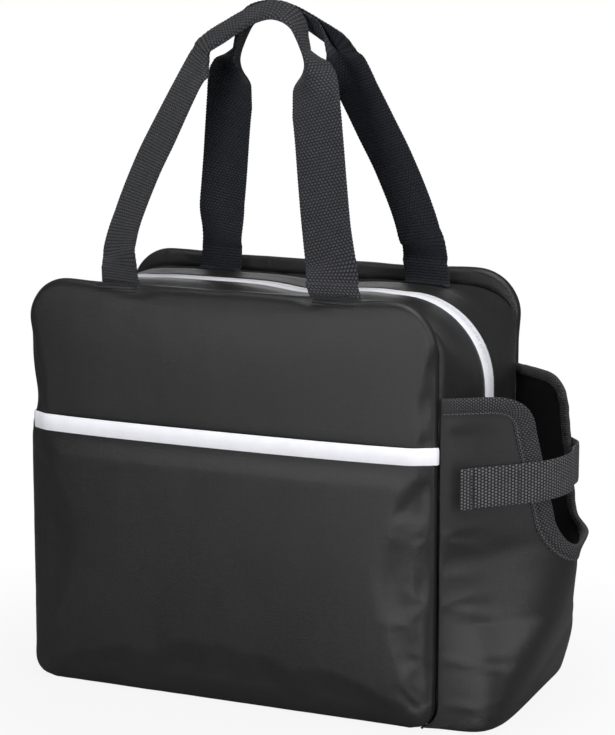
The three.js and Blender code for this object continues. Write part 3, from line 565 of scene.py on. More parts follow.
def grid_faces(rows, columns, closed_columns=False):
    faces = []
    for r in range(rows - 1):
        for c in range(columns if closed_columns else columns - 1):
            d = (c + 1) % columns
            faces.append((r * columns + c, r * columns + d, (r + 1) * columns + d, (r + 1) * columns + c))
    return faces


def flipped(faces):
    return [f[::-1] for f in faces]


def smooth_shade(obj, angle=None):
    select_only(obj)
    if angle is None:
        bpy.ops.object.shade_smooth()
    else:
        bpy.ops.object.shade_smooth_by_angle(angle=math.radians(angle))


def edit_all(obj, operator, **values):
    """Runs one operator on the whole mesh in edit mode."""
    select_only(obj)
    bpy.ops.object.mode_set(mode="EDIT")
    bpy.ops.mesh.select_all(action="SELECT")
    operator(**values)
    bpy.ops.object.mode_set(mode="OBJECT")


def outward(obj):
    """Turns the faces of a closed piece outwards."""
    edit_all(obj, bpy.ops.mesh.normals_make_consistent, inside=False)


def tube_faces(rows, size, start=0):
    """Faces of a closed form through rings of points, with its ends filled in."""
    faces = grid_faces(rows, size, True) + [tuple(range(size))[::-1], tuple(range((rows - 1) * size, rows * size))]
    return [tuple(start + k for k in f) for f in faces]


def make_closed(name, points, faces, pattern=None):
    """A closed piece, with its faces turned outwards."""
    obj = make_object(name, points, faces, pattern)
    outward(obj)
    return obj


def tube(name, points, pattern, size):
    """A closed piece through rings of points, with size points in each."""
    return make_closed(name, points, tube_faces(len(points) // size, size), pattern)


def add_bead(points, faces, rings):
    """Adds a short closed bead, such as a stitch, to a list of points and faces."""
    faces += tube_faces(len(rings), len(rings[0]), len(points))
    for ring in rings:
        points += ring


def lengths_along(points):
    """How far along a line each of its points lies."""
    lengths = [0.0]
    for a, b in zip(points, points[1:]):
        lengths.append(lengths[-1] + (b - a).length)
    return lengths


def neighbours(items, i, reach=1):
    return items[max(i - reach, 0)], items[min(i + reach, len(items) - 1)]


def cast(surface, start, way):
    """Where a ray from a place in millimetres meets a surface, in metres, and the normal there."""
    return surface.ray_cast(Vector([c * MM for c in start]), Vector(way))[:2]


def surface_of(obj):
    return BVHTree.FromObject(obj, bpy.context.evaluated_depsgraph_get())


def paint(obj, material):
    obj.data.materials.clear()
    obj.data.materials.append(material)


def finish_piece(obj, material, slot, body="bag", bend=None, replaces=(), angle=None):
    """Gives a piece its material, smooths its shading and says which body it rides. A piece that bends has its place
    baked into its points instead. The slot is not used.
    """
    paint(obj, material)
    smooth_shade(obj, angle)
    if bend:
        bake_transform(obj)
    else:
        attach(obj, body)
    if replaces:
        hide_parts(*replaces)


MOUTH_BEND = {
    label: ("bag", label + "_mouth", (0, side * FOLD_WALL * MM, FOLD * MM), (0, side * FOLD_WALL * MM, FOLD_END * MM))
    for label, side in SIDES
}


# The padded cover, sewn as one form and then parted into its panels

HOOP_ROWS = mirrored(
    [-67.0, -65.8, -63.6, -60.5, -56.5, -52, -47.5, -43, -38.5, -34, -29.5, -25, -20.5, -16, -12, -8.0, -4.0]
)
# From each seam to the face of its wall: (inset, distance from the middle of the bag).
WALL_RINGS = {
    -1: [(0.4, 68.0), (-0.2, 69.5), (-0.1, 71.3), (0.9, 73.2)],
    1: [(-0.6, 68.0), (-1.8, 70.0), (-2.0, 72.4), (-0.4, 74.4)],
}
GRID_INSET, GRID_DEPTH, WALL_CROWN = {-1: 3.2, 1: 2.6}, {-1: 74.6, 1: 76.0}, 5.2


def cover_form():
    """The cover as a closed form: its points, faces, the part that each face belongs to, and its pattern."""
    points, pattern, faces, parts = [], [], [], []
    loop = len(LOOP_STATIONS)
    around = lengths_along([hoop_point(leg, t, 0.0) for leg, t in LOOP_STATIONS])

    def wall_face(face, side, i):
        faces.append(face if side < 0 else face[::-1])
        parts.append(("wall", side, i))

    for y in HOOP_ROWS:
        for i, (leg, t) in enumerate(LOOP_STATIONS):
            points.append(hoop_point(leg, t, y))
            pattern.append((around[i] * MM, y * MM))
    faces += grid_faces(len(HOOP_ROWS), loop, True)
    parts += [("hoop", r, i) for r in range(len(HOOP_ROWS) - 1) for i in range(loop)]
    for side, ring in ((-1, 0), (1, len(points) - loop)):
        for inset, y in WALL_RINGS[side]:
            start = len(points)
            for leg, t in LOOP_STATIONS:
                x, z = outline_point(leg, t, inset)
                points.append(Vector((x, side * y, z)))
                pattern.append((x * MM, z * MM))
            for i in range(loop):
                j = (i + 1) % loop
                wall_face((ring + j, ring + i, start + i, start + j), side, i)
            ring = start
        grid = wall_grid([outline_point(leg, t, GRID_INSET[side]) for leg, t in LOOP_STATIONS])
        start = len(points)
        for x, z in grid.reshape(-1, 2):
            points.append(Vector((x, side * (GRID_DEPTH[side] + crown(x, z, WALL_CROWN)), z)))
            pattern.append((x * MM, z * MM))
        border = [start + r * (COLUMNS + 1) + c for c, r in BORDER]
        for i in range(loop):
            j = (i + 1) % loop
            wall_face((ring + j, ring + i, border[i], border[j]), side, i)
        for face in grid_faces(ROWS + 1, COLUMNS + 1):
            wall_face(tuple(start + k for k in face), side, -1)
    return points, faces, parts, pattern


def puff(obj, pins, reach, pressure, growth, bending, creep=0.25):
    """Blows up a piece of cloth against its pinned seams. reach holds how far each point may move, in millimetres.
    creep is the share kept of what a point moves within the face."""
    stiffness, frames = 8.0, 20
    group = obj.vertex_groups.new(name="pinned")
    for index, weight in enumerate(pins):
        if weight > 0:
            group.add([index], float(weight), "REPLACE")
    start = np.array([tuple(v.co) for v in obj.data.vertices])
    normals = np.array([tuple(v.normal) for v in obj.data.vertices])
    modifier = obj.modifiers.new("cloth", "CLOTH")
    cloth = modifier.settings
    cloth.vertex_group_mass = "pinned"
    cloth.quality = 6
    cloth.mass = 0.25
    cloth.tension_stiffness = cloth.compression_stiffness = stiffness
    cloth.shear_stiffness = stiffness * 0.6
    cloth.bending_stiffness = bending
    cloth.use_pressure = True
    cloth.uniform_pressure_force = pressure
    cloth.shrink_min = growth
    cloth.effector_weights.gravity = 0
    modifier.collision_settings.use_collision = False
    for frame_number in range(1, frames + 1):
        scene.frame_set(frame_number)
    depsgraph = bpy.context.evaluated_depsgraph_get()
    moved = np.array([tuple(v.co) for v in obj.evaluated_get(depsgraph).data.vertices])
    obj.modifiers.remove(modifier)
    scene.frame_set(1)
    step = moved - start
    out = np.sum(step * normals, axis=1)[:, None] * normals
    step = out + (step - out) * creep
    size = np.maximum(np.linalg.norm(step, axis=1), 1e-9)
    placed = start + step * np.minimum(1.0, np.array(reach) * MM / size)[:, None]
    obj.data.vertices.foreach_set("co", placed.astype(np.float32).ravel())
    obj.data.update()
    obj.vertex_groups.clear()


def lift_points(obj, heights):
    """Moves each point along its normal by its height in millimetres."""
    normals = [v.normal.copy() for v in obj.data.vertices]
    for v, normal, height in zip(obj.data.vertices, normals, heights):
        v.co += normal * (height * MM)
    obj.data.update()


def seam_puckers(obj, distance, along, heights, spacing, reach, seed):
    """Draws a sewn edge into short puckers that die out away from it."""

    def pucker(d, s, height):
        if d > reach * 3:
            return 0.0
        ripple = noise.noise(Vector((s / spacing, seed, d / (spacing * 4))))
        ripple += 0.5 * noise.noise(Vector((s / spacing * 2.3, seed + 7, 0)))
        return height * ripple * math.exp(-d / reach) * smooth(d / 1.5 + 0.25)

    lift_points(obj, [pucker(*values) for values in zip(distance, along, heights)])


# The tight stitches of an upright seam (height, strength), and the creases of each (slope, share).
TIGHT_STITCHES = ((126, 0.7), (83, 1.0), (47, 1.0), (18, 0.8))
STITCH_CREASES = ((0.6, 1.0), (-0.45, 0.8), (0.08, -0.9))
CREASE_REACH = 30


def drawn_stitches(obj, distance, height):
    """Short creases that run out from a few tight stitches of an upright seam."""

    def crease(z, d):
        lift = 0.0
        for stitch, strength in TIGHT_STITCHES:
            for slope, share in STITCH_CREASES:
                lift += strength * share * hump(z, stitch - slope * d, 1.8 + 0.14 * d)
        return height * lift * smooth(d / 1.5 + 0.2) * math.exp(-d / 9)

    heights = [v.co.z / MM for v in obj.data.vertices]
    lift_points(obj, [crease(z, d) if 0 <= d <= CREASE_REACH else 0.0 for z, d in zip(heights, distance)])


def handle_drags(obj):
    """Short level folds under the sewn feet of the handles."""
    feet, height, lowest, depth = ((-79, 1.0), (72, 0.8)), 262, 235, 0.45
    for v in obj.data.vertices:
        x, y, z = v.co / MM
        if z < lowest or abs(y) < SEAM + 0.5:
            continue
        for foot, strength in feet:
            near = strength * hump(x, foot if y < 0 else -foot, 26)
            fold = math.sin((z - 250) / 2.7 + 0.05 * x) * hump(z, height, 6.5)
            v.co.y += math.copysign(depth * MM * near * fold, y)
    obj.data.update()


def part_piece(source, name, keep):
    """A copy of some faces of a piece, as a piece of its own."""
    obj = source.copy()
    obj.data = source.data.copy()
    obj.name = obj.data.name = name
    scene.collection.objects.link(obj)
    work = bmesh.new()
    work.from_mesh(obj.data)
    work.faces.ensure_lookup_table()
    bmesh.ops.delete(work, geom=[f for i, f in enumerate(work.faces) if not keep(i)], context="FACES")
    work.to_mesh(obj.data)
    work.free()
    return obj


def cover_hold(p):
    """Whether a point of the cover is held, and how far it may move."""
    beside_zip = p.z > ZIP_FOOT - 6
    seam = abs(abs(p.y) - SEAM) < 0.01
    zip_edge = abs(p.y) <= 8.01 and beside_zip
    standing = p.z < 1.2 and abs(p.y) < 62 and abs(p.x) < 136
    held = 1.0 if seam or zip_edge or standing else 0.0
    if abs(p.y) > SEAM - 0.5:
        return held, 1.6 if p.z > POCKET_TOP or p.y > 0 else 1.0
    if p.x > 120 and p.z < POUCH_TOP:
        return held, 1.5
    if abs(p.y) < 21 and beside_zip:
        return held, 0.5
    if p.z > 250 and abs(p.x) < 110:
        return held, 1.4
    return held, 1.0 if p.z < 12 else 4.5


def cover_seam(p, around):
    """A point's distance from the cover's nearest seam, and its place along that seam."""
    if abs(p.y) <= SEAM + 0.01:
        return SEAM - abs(p.y), around
    from_end, from_edge = HALF_WIDTH - abs(p.x), min(p.z, HEIGHT - p.z)
    return min(from_end, from_edge) + max(0.0, WALL - abs(p.y)), p.z if from_end < from_edge else p.x


def make_cover():
    points, faces, parts, pattern = cover_form()
    form = make_closed("cover_form", points, faces, pattern)
    pins, reach = zip(*[cover_hold(p) for p in points])
    puff(form, pins, reach, pressure=2.0, growth=-0.006, bending=3.0)
    distance, along = zip(*[cover_seam(p, u / MM) for p, (u, _) in zip(points, pattern)])
    heights = [0.15 if p.z > 255 else 0.4 for p in points]
    seam_puckers(form, distance, along, heights, spacing=11.0, reach=6.0, seed=3.0)
    handle_drags(form)
    for v in form.data.vertices:
        x, y, z = v.co / MM
        v.co.x += 3.2 * MM * hump(z, 193, 15) * smooth((-x - 118) / 22) * smooth((-y - 45) / 20)
        v.co.z = max(v.co.z, 0.0)

    def belongs(i, side):
        """Whether a face is on the top gusset of that side, above the foot of the zip."""
        if parts[i][0] != "hoop" or min(points[k].z for k in faces[i]) < ZIP_FOOT - 2.6:
            return False
        row = parts[i][1]
        return not side or 0.5 * (HOOP_ROWS[row] + HOOP_ROWS[row + 1]) * side > 8

    shapes = []
    for label, side in SIDES:
        shapes.append((label + "_wall", lambda i, side=side: parts[i][:2] == ("wall", side)))
        shapes.append((label + "_top_gusset", lambda i, side=side: belongs(i, side)))
    shapes.append(("end_and_base_gusset", lambda i: parts[i][0] == "hoop" and not belongs(i, 0)))
    pieces = {name: part_piece(form, name, keep) for name, keep in shapes}
    bpy.data.objects.remove(form)
    for name, piece in pieces.items():
        thicken_cloth(piece, 0.0012, -1)
        label = name.split("_")[0]
        if name.endswith("_wall"):
            nodes = [label + n for n in ("_panel", "_panel_top", "_foam", "_foam_top")]
        elif name.endswith("_top_gusset"):
            nodes = [label + "_gusset", label + "_gusset_foam"]
        else:
            nodes = [n + kind for kind in ("_panel", "_foam") for n in ("left_end", "right_end", "base")]
        finish_piece(piece, CLOTH, "cloth", bend=MOUTH_BEND.get(label), replaces=nodes)
    end_seams([surface_of(pieces[name]) for name in pieces if name.endswith("gusset")])
    return pieces


def end_seams(cloth):
    """Flat tape over the seams that join the gussets to the lower end panels, beside the foot of the zip."""
    inner, outer, heights = 13.2, 66.2, (147.0, 148.4, 149.8, 151.2, 152.6)
    for end, end_name in ((-1, "left"), (1, "right")):
        for label, side in SIDES:
            sections = []
            for y in spread(inner, outer, 36):
                section = []
                for z in heights:
                    hits = [cast(surface, (end * 300, side * y, z), (-end, 0, 0)) for surface in cloth]
                    hits = [h for h in hits if h[0] and h[0].x * end > 0.12]
                    place, normal = max(hits, key=lambda h: h[0].x * end)
                    section.append((place / MM + normal * 0.2, normal))
                sections.append(section)
            tape = ribbon("end_seam_" + end_name + "_" + label, sections, 0.7)
            finish_piece(tape, BINDING, "binding", angle=40)


# Zip

def hoop_path(spacing, foot=ZIP_FOOT):
    """Stations from the foot of the zip on the left end, over the top, to its foot on the right end."""
    start = height_share(foot)
    side = max(2, int((hoop_point("leftSide", 1, 0.0).z - foot) / spacing))
    corner, top = int(90 / spacing), int(190 / spacing)
    up = legs(("leftSide", start, 1, side), ("leftCorner", 0, 1, corner), ("top", 0, 1, top))
    return up + legs(("rightCorner", 1, 0, corner), ("rightSide", 1, start, side)) + [("rightSide", start)]


# Half of the tape's section, from the middle of the zip outwards and back: (distance from the middle, depth).
ZIP_TAPE = (
    (0.04, -0.5), (4.0, -0.5), (7.6, 0.1), (9.5, 1.5), (12.5, 1.7),
    (12.5, 2.3), (9.5, 2.1), (7.6, 0.9), (4.0, 0.3), (0.04, 0.3),
)
TOOTH_HALF, COIL_MIDDLE, COIL_DEPTH, COIL_PITCH, TAPE_SPACING = (1.25, 0.62, 0.95), 1.32, -0.3, 1.5, 5.0


def zip_tooth(place, along, across, out):
    """One turn of the coil: a low rounded bead across its tape."""
    wide, thick, high = TOOTH_HALF
    rings = []
    for share, lift in ((-1.0, 0.0), (-0.72, 0.75), (0.0, 1.0), (0.72, 0.75), (1.0, 0.0)):
        ring = []
        for side, rise in ((-1, 0.0), (-0.55, 0.8), (0.55, 0.8), (1, 0.0)):
            ring.append(place + across * (share * wide) + along * (side * thick) + out * (rise * lift * high))
        rings.append(ring)
    return rings


def make_zip():
    path = hoop_path(TAPE_SPACING)
    lengths = lengths_along([hoop_point(leg, t, 0.0) for leg, t in path])
    for label, side in SIDES:
        points, pattern = [], []
        for (leg, t), length in zip(path, lengths):
            for y, depth in ZIP_TAPE:
                points.append(hoop_point(leg, t, side * y, depth))
                pattern.append(((side * y + depth) * MM, length * MM))
        feet = ["zip_foot_left", "zip_foot_right"] if label == "front" else []
        tape = tube(label + "_tape", points, pattern, len(ZIP_TAPE))
        finish_piece(
            tape, WHITE, "white_tape", bend=MOUTH_BEND[label], angle=40, replaces=[label + "_zip_tape"] + feet
        )
        points, faces = [], []
        places = [hoop_point(*s, side * COIL_MIDDLE, COIL_DEPTH) for s in hoop_path(COIL_PITCH, ZIP_FOOT + 4)]
        for before, here, after in zip(places, places[1:], places[2:]):
            along, across = (after - before).normalized(), Vector((0, 1, 0))
            out = across.cross(along).normalized()
            out = out if out.dot(here - Vector((0, 0, 140))) > 0 else -out
            add_bead(points, faces, zip_tooth(here - out * 0.1, along, across, out))
        coil = make_closed(label + "_coil", points, faces, pattern=[])
        finish_piece(coil, COIL, "zip_coil", bend=MOUTH_BEND[label], replaces=[label + "_zip_coil"])
    for name in ("zip_slider", "zip_pull"):
        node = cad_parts[name]
        paint(node, ENAMEL)


# Lining

# The strip beside the zip, from the wall's seam to the zip's tape: (distance from the middle, depth).
LINING_ROWS = [(y, LINING_DEPTH) for y in (LINING_EDGE, 58, 50, 40, 30, 20)] + [(14.5, 7.4), (12.4, 5.4), (11.4, 2.6)]
TUB_ROWS = mirrored([-LINING_EDGE, -58, -50, -40, -30, -20, -10])


def lining_sheet(name, points, faces, pattern, flat, rests_on, **finish):
    """A sheet of foil. The size it is cut to, flat, is not used."""
    sheet = make_object(name, points, faces, pattern)
    add_modifier(sheet, "SOLIDIFY", thickness=FOIL_THICKNESS, offset=0)
    outward(sheet)
    finish_piece(sheet, FOIL, "liner", angle=50, **finish)


def make_lining():
    for label, side in SIDES:
        path = hoop_path(7.0)
        points = [hoop_point(leg, t, side * y, depth) for leg, t in path for y, depth in LINING_ROWS]
        pattern = [((p.x + p.z) * MM, p.y * MM) for p in points]
        faces = grid_faces(len(path), len(LINING_ROWS))
        lining_sheet(
            label + "_lining_gusset", points, faces if side < 0 else flipped(faces), pattern,
            (0.057, 0.45), label + "_top_gusset", bend=MOUTH_BEND[label], replaces=[label + "_gusset_liner"],
        )
        loop = [hoop_point(leg, t, side * LINING_EDGE, LINING_DEPTH) for leg, t in LOOP_STATIONS]
        points = []
        for x, z in wall_grid([(p.x, p.z) for p in loop]).reshape(-1, 2):
            crumple = 0.8 * noise.noise(Vector((x / 40, z / 40, side)))
            points.append(Vector((x, side * (LINING_EDGE - 0.1 - crumple), z)))
        faces = grid_faces(ROWS + 1, COLUMNS + 1)
        lining_sheet(
            label + "_lining_wall", points, faces if side > 0 else flipped(faces),
            [(p.x * MM, p.z * MM) for p in points], (0.275, 0.246), label + "_wall", bend=MOUTH_BEND[label],
        )
    share = height_share(ZIP_FOOT + 1)
    around = legs(
        ("rightSide", share, 0, 16), ("rightFoot", 0, 1, 4), ("base", 0, 1, 30), ("leftFoot", 1, 0, 4),
        ("leftSide", 0, share, 16),
    ) + [("leftSide", share)]
    points = [hoop_point(leg, t, y, LINING_DEPTH) for leg, t in around for y in TUB_ROWS]
    pattern = [((p.x + p.z) * MM, p.y * MM) for p in points]
    lining_sheet(
        "lining_tub", points, grid_faces(len(around), len(TUB_ROWS)), pattern,
        (0.129, 0.58), "end_and_base_gusset", replaces=["liner_tub"],
    )


# Front pocket

def base_turn(z, radius):
    """How far the rounded foot of the bag draws in at that height."""
    return radius - math.sqrt(max(radius ** 2 - max(BASE_RADIUS - z, 0) ** 2, 0)) if z < BASE_RADIUS else 0.0


# The least room between the slip pocket and its wall, and the band below its mouth that keeps its first shape.
POCKET_ROOM, MOUTH_BAND = 0.35, 26


def make_front_pocket(wall):
    surface = surface_of(wall)

    def wall_y(x, z):
        hit = cast(surface, (x, -300, z), (0, 1, 0))[0]
        return hit.y / MM if hit else -SEAM

    columns, rows, crowding = 64, 74, 0.93
    points, pattern, pins = [], [], []
    for r in range(rows + 1):
        z = POCKET_FOOT + (POCKET_TOP - POCKET_FOOT) * (r / rows)
        half = POCKET_HALF - base_turn(z, BASE_RADIUS - POCKET_FOOT)
        for c in range(columns + 1):
            share = math.sin((c / columns - 0.5) * math.pi * crowding) / math.sin(0.5 * math.pi * crowding)
            x = share * half
            edge = min(half - abs(x), z - POCKET_FOOT)
            room = 0.7 + 1.6 * smooth(edge / 14) + 1.9 * smooth(z / 120) * (1 - abs(share) ** 4)
            points.append(Vector((x, wall_y(x, z) - room, z)))
            pattern.append((x * MM, z * MM))
            pins.append(1.0 if c in (0, columns) or r == 0 or r >= rows - 2 else 0.0)
    pocket = make_object("slip_pocket", points, grid_faces(rows + 1, columns + 1), pattern)
    puff(pocket, pins, [1.5] * len(points), pressure=1.5, growth=-0.004, bending=0.8)
    along = [p.z if POCKET_HALF - abs(p.x) < p.z else p.x for p in points]
    distance = [min(POCKET_HALF - abs(p.x), p.z - POCKET_FOOT) for p in points]
    heights = [0.25 + 0.25 * smooth((110 - p.z) / 60) for p in points]
    seam_puckers(pocket, distance, along, heights, spacing=9.0, reach=7.0, seed=11.0)
    drawn_stitches(pocket, [POCKET_HALF - p.x for p in points], height=1.0)
    for v, p in zip(pocket.data.vertices, points):
        v.co.y += (p.y * MM - v.co.y) * smooth((p.z - (POCKET_TOP - MOUTH_BAND)) / 13)
        v.co.y = min(v.co.y, (wall_y(v.co.x / MM, v.co.z / MM) - POCKET_ROOM) * MM)
        v.co.z = max(v.co.z, 0.0008)
    top = [pocket.data.vertices[rows * (columns + 1) + c].co / MM for c in range(columns + 1)]
    thicken_cloth(pocket, 0.0007, 1)
    finish_piece(pocket, POCKET_CLOTH, "cloth", replaces=["front_pocket"])
    make_trim(top)


# Round the section of the trim: (distance out of the cloth, height over the mouth of the pocket).
TRIM_SECTION = (
    (1.6, -9.6), (1.75, -9.9), (1.9, -9.6), (2.15, -5.0), (2.05, -0.6), (1.3, 0.7), (0.3, 0.9), (-0.35, 0.5),
    (-0.45, -0.6), (-0.4, -9.6), (0.05, -9.6), (0.05, -0.7), (1.45, -0.7),
)


def make_trim(top):
    """White tape folded over the mouth of the slip pocket, and turned round its right end."""
    line = [(p, 0.0) for p in top]
    for x, y, turn in ((144.6, -72.8, 40), (145.2, -71.2, 70)):
        line.append((Vector((x, y, POCKET_TOP)), math.radians(turn)))
    points, pattern = [], []
    for (p, turn), length in zip(line, lengths_along([p for p, _ in line])):
        way = Vector((math.sin(turn), -math.cos(turn), 0)) * (1 - 0.5 * abs(math.sin(turn)))
        for out, up in TRIM_SECTION:
            points.append(p + way * (out - 0.35) + Vector((0, 0, up)))
            pattern.append(((up - out) * MM, length * MM))
    trim = tube("pocket_trim", points, pattern, len(TRIM_SECTION))
    finish_piece(trim, WHITE, "white_tape", replaces=["front_pocket_trim"], angle=45)


# Bottle pocket. A turn goes round it from its front seam (0) to its back seam (half a turn).

def pouch_out(turn):
    across = -math.cos(turn)
    slope = POUCH_REACH * POUCH_POWER * math.copysign(abs(across) ** (POUCH_POWER - 1), across) / SEAM
    return Vector((1, slope, 0)).normalized()


def pouch_point(turn, z, share=1.0, out=0.0):
    """A point of the bottle pocket. Low down it is boxier and reaches less far. share runs from the bag to its face."""
    side, low, foot = math.cos(turn), 1 - smooth(z / 118), 1 - clamp01(z / 70)
    power = POUCH_POWER + 2.35 * low + 5 * foot
    plan = (POUCH_REACH - 15 * low - 13 * foot ** 2) * (1 - abs(side) ** power)
    bulge = 8 * low * hump(turn, 0.62, 0.3)
    x = HALF_WIDTH + POUCH_STANDOFF + plan * share + SWELL * math.sin(turn) ** 2 * (1 - share)
    x -= base_turn(z, BASE_RADIUS) * (1 - share * min(plan / 25, 1))
    flare = FLARE * hump(math.degrees(turn), FLARE_TURN, 9) * hump(z, FLARE_HEIGHT, 8)
    y = -(SEAM + POUCH_OVERLAP * smooth(2 * side)) * side - bulge * share
    return Vector((x, y, z)) + pouch_out(turn) * (out + flare * share)


def pouch_foot(turn):
    """The height of the foot of the pocket, which lifts a little towards its back."""
    return 0.9 + 9 * smooth((1 - math.cos(turn)) / 1.7)


def pouch_turn(length):
    return math.pi / 2 + length / POUCH_RADIUS


def bezier(points, steps):
    out = []
    for i in range(1, steps + 1):
        work = [Vector(p) for p in points]
        while len(work) > 1:
            work = [a.lerp(b, i / steps) for a, b in zip(work, work[1:])]
        out.append(work[0])
    return out


def pouch_edge(spacing=2.0):
    """The edge of the bottle pocket, as (length round it from its middle, height)."""
    end = (math.pi / 2 - math.radians(4)) * POUCH_RADIUS
    left = [Vector((-end, POUCH_TOP)), Vector((-NOTCH_HALF - NOTCH_CORNER, POUCH_TOP))]
    left += bezier([left[-1], (-NOTCH_HALF, POUCH_TOP), (-NOTCH_HALF + 1, POUCH_TOP - NOTCH_CORNER)], 10)
    left += bezier([left[-1], (-NOTCH_FOOT_HALF, NOTCH_FOOT + NOTCH_FOOT_HALF)], 2)
    bend = [(-NOTCH_FOOT_HALF + 3, NOTCH_FOOT + 10), (-NOTCH_FOOT_HALF / 2, NOTCH_FOOT), (0, NOTCH_FOOT)]
    left += bezier([left[-1]] + bend, 10)
    return even_points(left + [Vector((-p.x, p.y)) for p in reversed(left[:-1])], spacing)


def even_points(points, spacing):
    """The same line, with its points evenly spaced."""
    lengths = lengths_along(points)
    count = max(2, int(round(lengths[-1] / spacing)))
    out, k = [], 0
    for i in range(count + 1):
        at = lengths[-1] * i / count
        while k < len(points) - 2 and lengths[k + 1] < at:
            k += 1
        out.append(points[k].lerp(points[k + 1], (at - lengths[k]) / max(lengths[k + 1] - lengths[k], 1e-9)))
    return out


def into_cloth(edge, i):
    """The direction from a point of the edge into the pocket's cloth."""
    a, b = neighbours(edge, i)
    along = (b - a).normalized()
    return Vector((along.y, -along.x))


def edge_distance(edge, length, z):
    """How far a point lies below the edge, negative above it."""
    here = Vector((length, z))
    best, k = min(((here - p).length, i) for i, p in enumerate(edge))
    return math.copysign(best, (here - edge[k]).dot(into_cloth(edge, k)))


def pouch_crease(turn, z):
    """The dents and folds that the hanging cloth of the pocket takes, as a distance out of it."""
    side = math.cos(turn)
    fold = 0.8 * hump(z, 104 + 26 * side, 11) * hump(side, 0.1, 0.5)
    drag = -0.8 * hump(z, 40 - 40 * side, 9) * smooth((z - 14) / 20)
    drag += -0.7 * hump(z, 128 - 20 * side, 7) * smooth(side * 2)
    return fold + drag


def make_bottle_pocket():
    edge = pouch_edge()
    turns, foot_rows, round_rows, side_rows = 76, 7, 5, 66
    low_rows = foot_rows + round_rows
    rows = low_rows + side_rows + 1
    points, pattern, pins, depth = [], [], [], []
    for row in range(rows):
        for i in range(turns + 1):
            turn = math.pi * i / turns
            foot, across = pouch_foot(turn), pouch_point(turn, 8).x - HALF_WIDTH - POUCH_STANDOFF
            radius, reach = min(POUCH_FOLD, 0.5 * max(across, 0)), max(across, 1)
            if row < foot_rows:
                p = pouch_point(turn, foot, (1 - radius / reach) * row / foot_rows)
            elif row < low_rows:
                angle = math.pi / 2 * (row - foot_rows) / round_rows
                p = pouch_point(turn, foot + radius * (1 - math.cos(angle)), 1 - radius * (1 - math.sin(angle)) / reach)
            else:
                low = foot + radius
                p = pouch_point(turn, low + (POUCH_TOP - low) * (row - low_rows) / side_rows)
            length = (turn - math.pi / 2) * POUCH_RADIUS
            below = edge_distance(edge, length, p.z)
            if row >= low_rows and below > 6:
                p += pouch_out(turn) * pouch_crease(turn, p.z) * smooth((below - 6) / 14) * smooth(math.sin(turn) * 3)
            points.append(p)
            pattern.append((length * MM, (p.z - 4 * (low_rows - min(row, low_rows))) * MM))
            depth.append(below)
            pins.append(1.0 if i in (0, turns) or row < foot_rows or below < BOUND_WIDTH else 0.0)
    faces = [f for f in grid_faces(rows, turns + 1) if min(depth[k] for k in f) > 0.6]
    pocket = make_object("bottle_pocket_shell", points, faces, pattern)
    puff(pocket, pins, [2.2] * len(points), pressure=2.5, growth=-0.012, bending=0.6)
    distance, along, heights = [SEAM - abs(p.y) for p in points], [p.z for p in points], [0.7] * len(points)
    seam_puckers(pocket, distance, along, heights, spacing=12.0, reach=7.0, seed=21.0)
    drawn_stitches(pocket, [SEAM + POUCH_OVERLAP + p.y for p in points], height=1.2)
    for v in pocket.data.vertices:
        v.co.z = max(v.co.z, 0.0004)
    edit_all(pocket, bpy.ops.mesh.delete_loose)
    thicken_cloth(pocket, 0.0011, -1)
    finish_piece(pocket, POCKET_CLOTH, "cloth", replaces=["bottle_pocket"])
    make_binding(edge)
    make_strap()


BINDING_REACH, BINDING_BACK_REACH = 9.4, 5.5
# Round the section of the binding: (distance out of the cloth, distance in from its edge).
BINDING_SECTION = (
    (1.15, BINDING_REACH), (1.45, BINDING_REACH - 0.4), (1.75, 5.0), (1.9, 2.0), (1.6, -0.6), (0.9, -1.3), (0.0, -1.5),
    (-0.9, -1.3), (-1.6, -0.6), (-1.9, 2.0), (-1.75, 4.0), (-1.45, BINDING_BACK_REACH - 0.4),
    (-1.15, BINDING_BACK_REACH), (-0.75, BINDING_BACK_REACH), (-0.8, 2.0), (-0.5, -0.4), (0.0, -0.7), (0.5, -0.4),
    (0.8, 2.0), (0.75, BINDING_REACH),
)


def make_binding(edge):
    """Tape folded over the edge of the bottle pocket, with its stitching."""
    points, pattern = [], []
    for i, (here, length) in enumerate(zip(edge, lengths_along(edge))):
        wave = 1.3 * noise.noise(Vector((length / 9, 4.0, 0))) * smooth((here.x + 8) / 16)
        for out, inward in BINDING_SECTION:
            p = here + into_cloth(edge, i) * (inward + 0.5 * wave)
            points.append(pouch_point(pouch_turn(p.x), p.y, out=out - 0.55 + wave))
            pattern.append(((inward + (12 if out < 0 else 0)) * MM, length * MM))
    binding = tube("bottle_pocket_edge", points, pattern, len(BINDING_SECTION))
    finish_piece(binding, BINDING, "binding", replaces=["bottle_pocket_binding"], angle=50)
    # The second row, in near-black thread, paints the shadow line along the inner edge of the binding.
    for number, inward, thread in ((1, BINDING_REACH - 1.2, PALE_THREAD), (2, BINDING_REACH - 3.2, DARK_THREAD_AND_SHADE)):
        line = []
        for i, here in enumerate(edge):
            p = here + into_cloth(edge, i) * inward
            turn = pouch_turn(p.x)
            line.append((pouch_point(turn, p.y, out=1.1), pouch_out(turn)))
        name = "bottle_pocket_edge_stitches_" + str(number)
        stitch_line(name, line, thread, "bag", "binding", length=2.0, gap=0.6, radius=0.28)


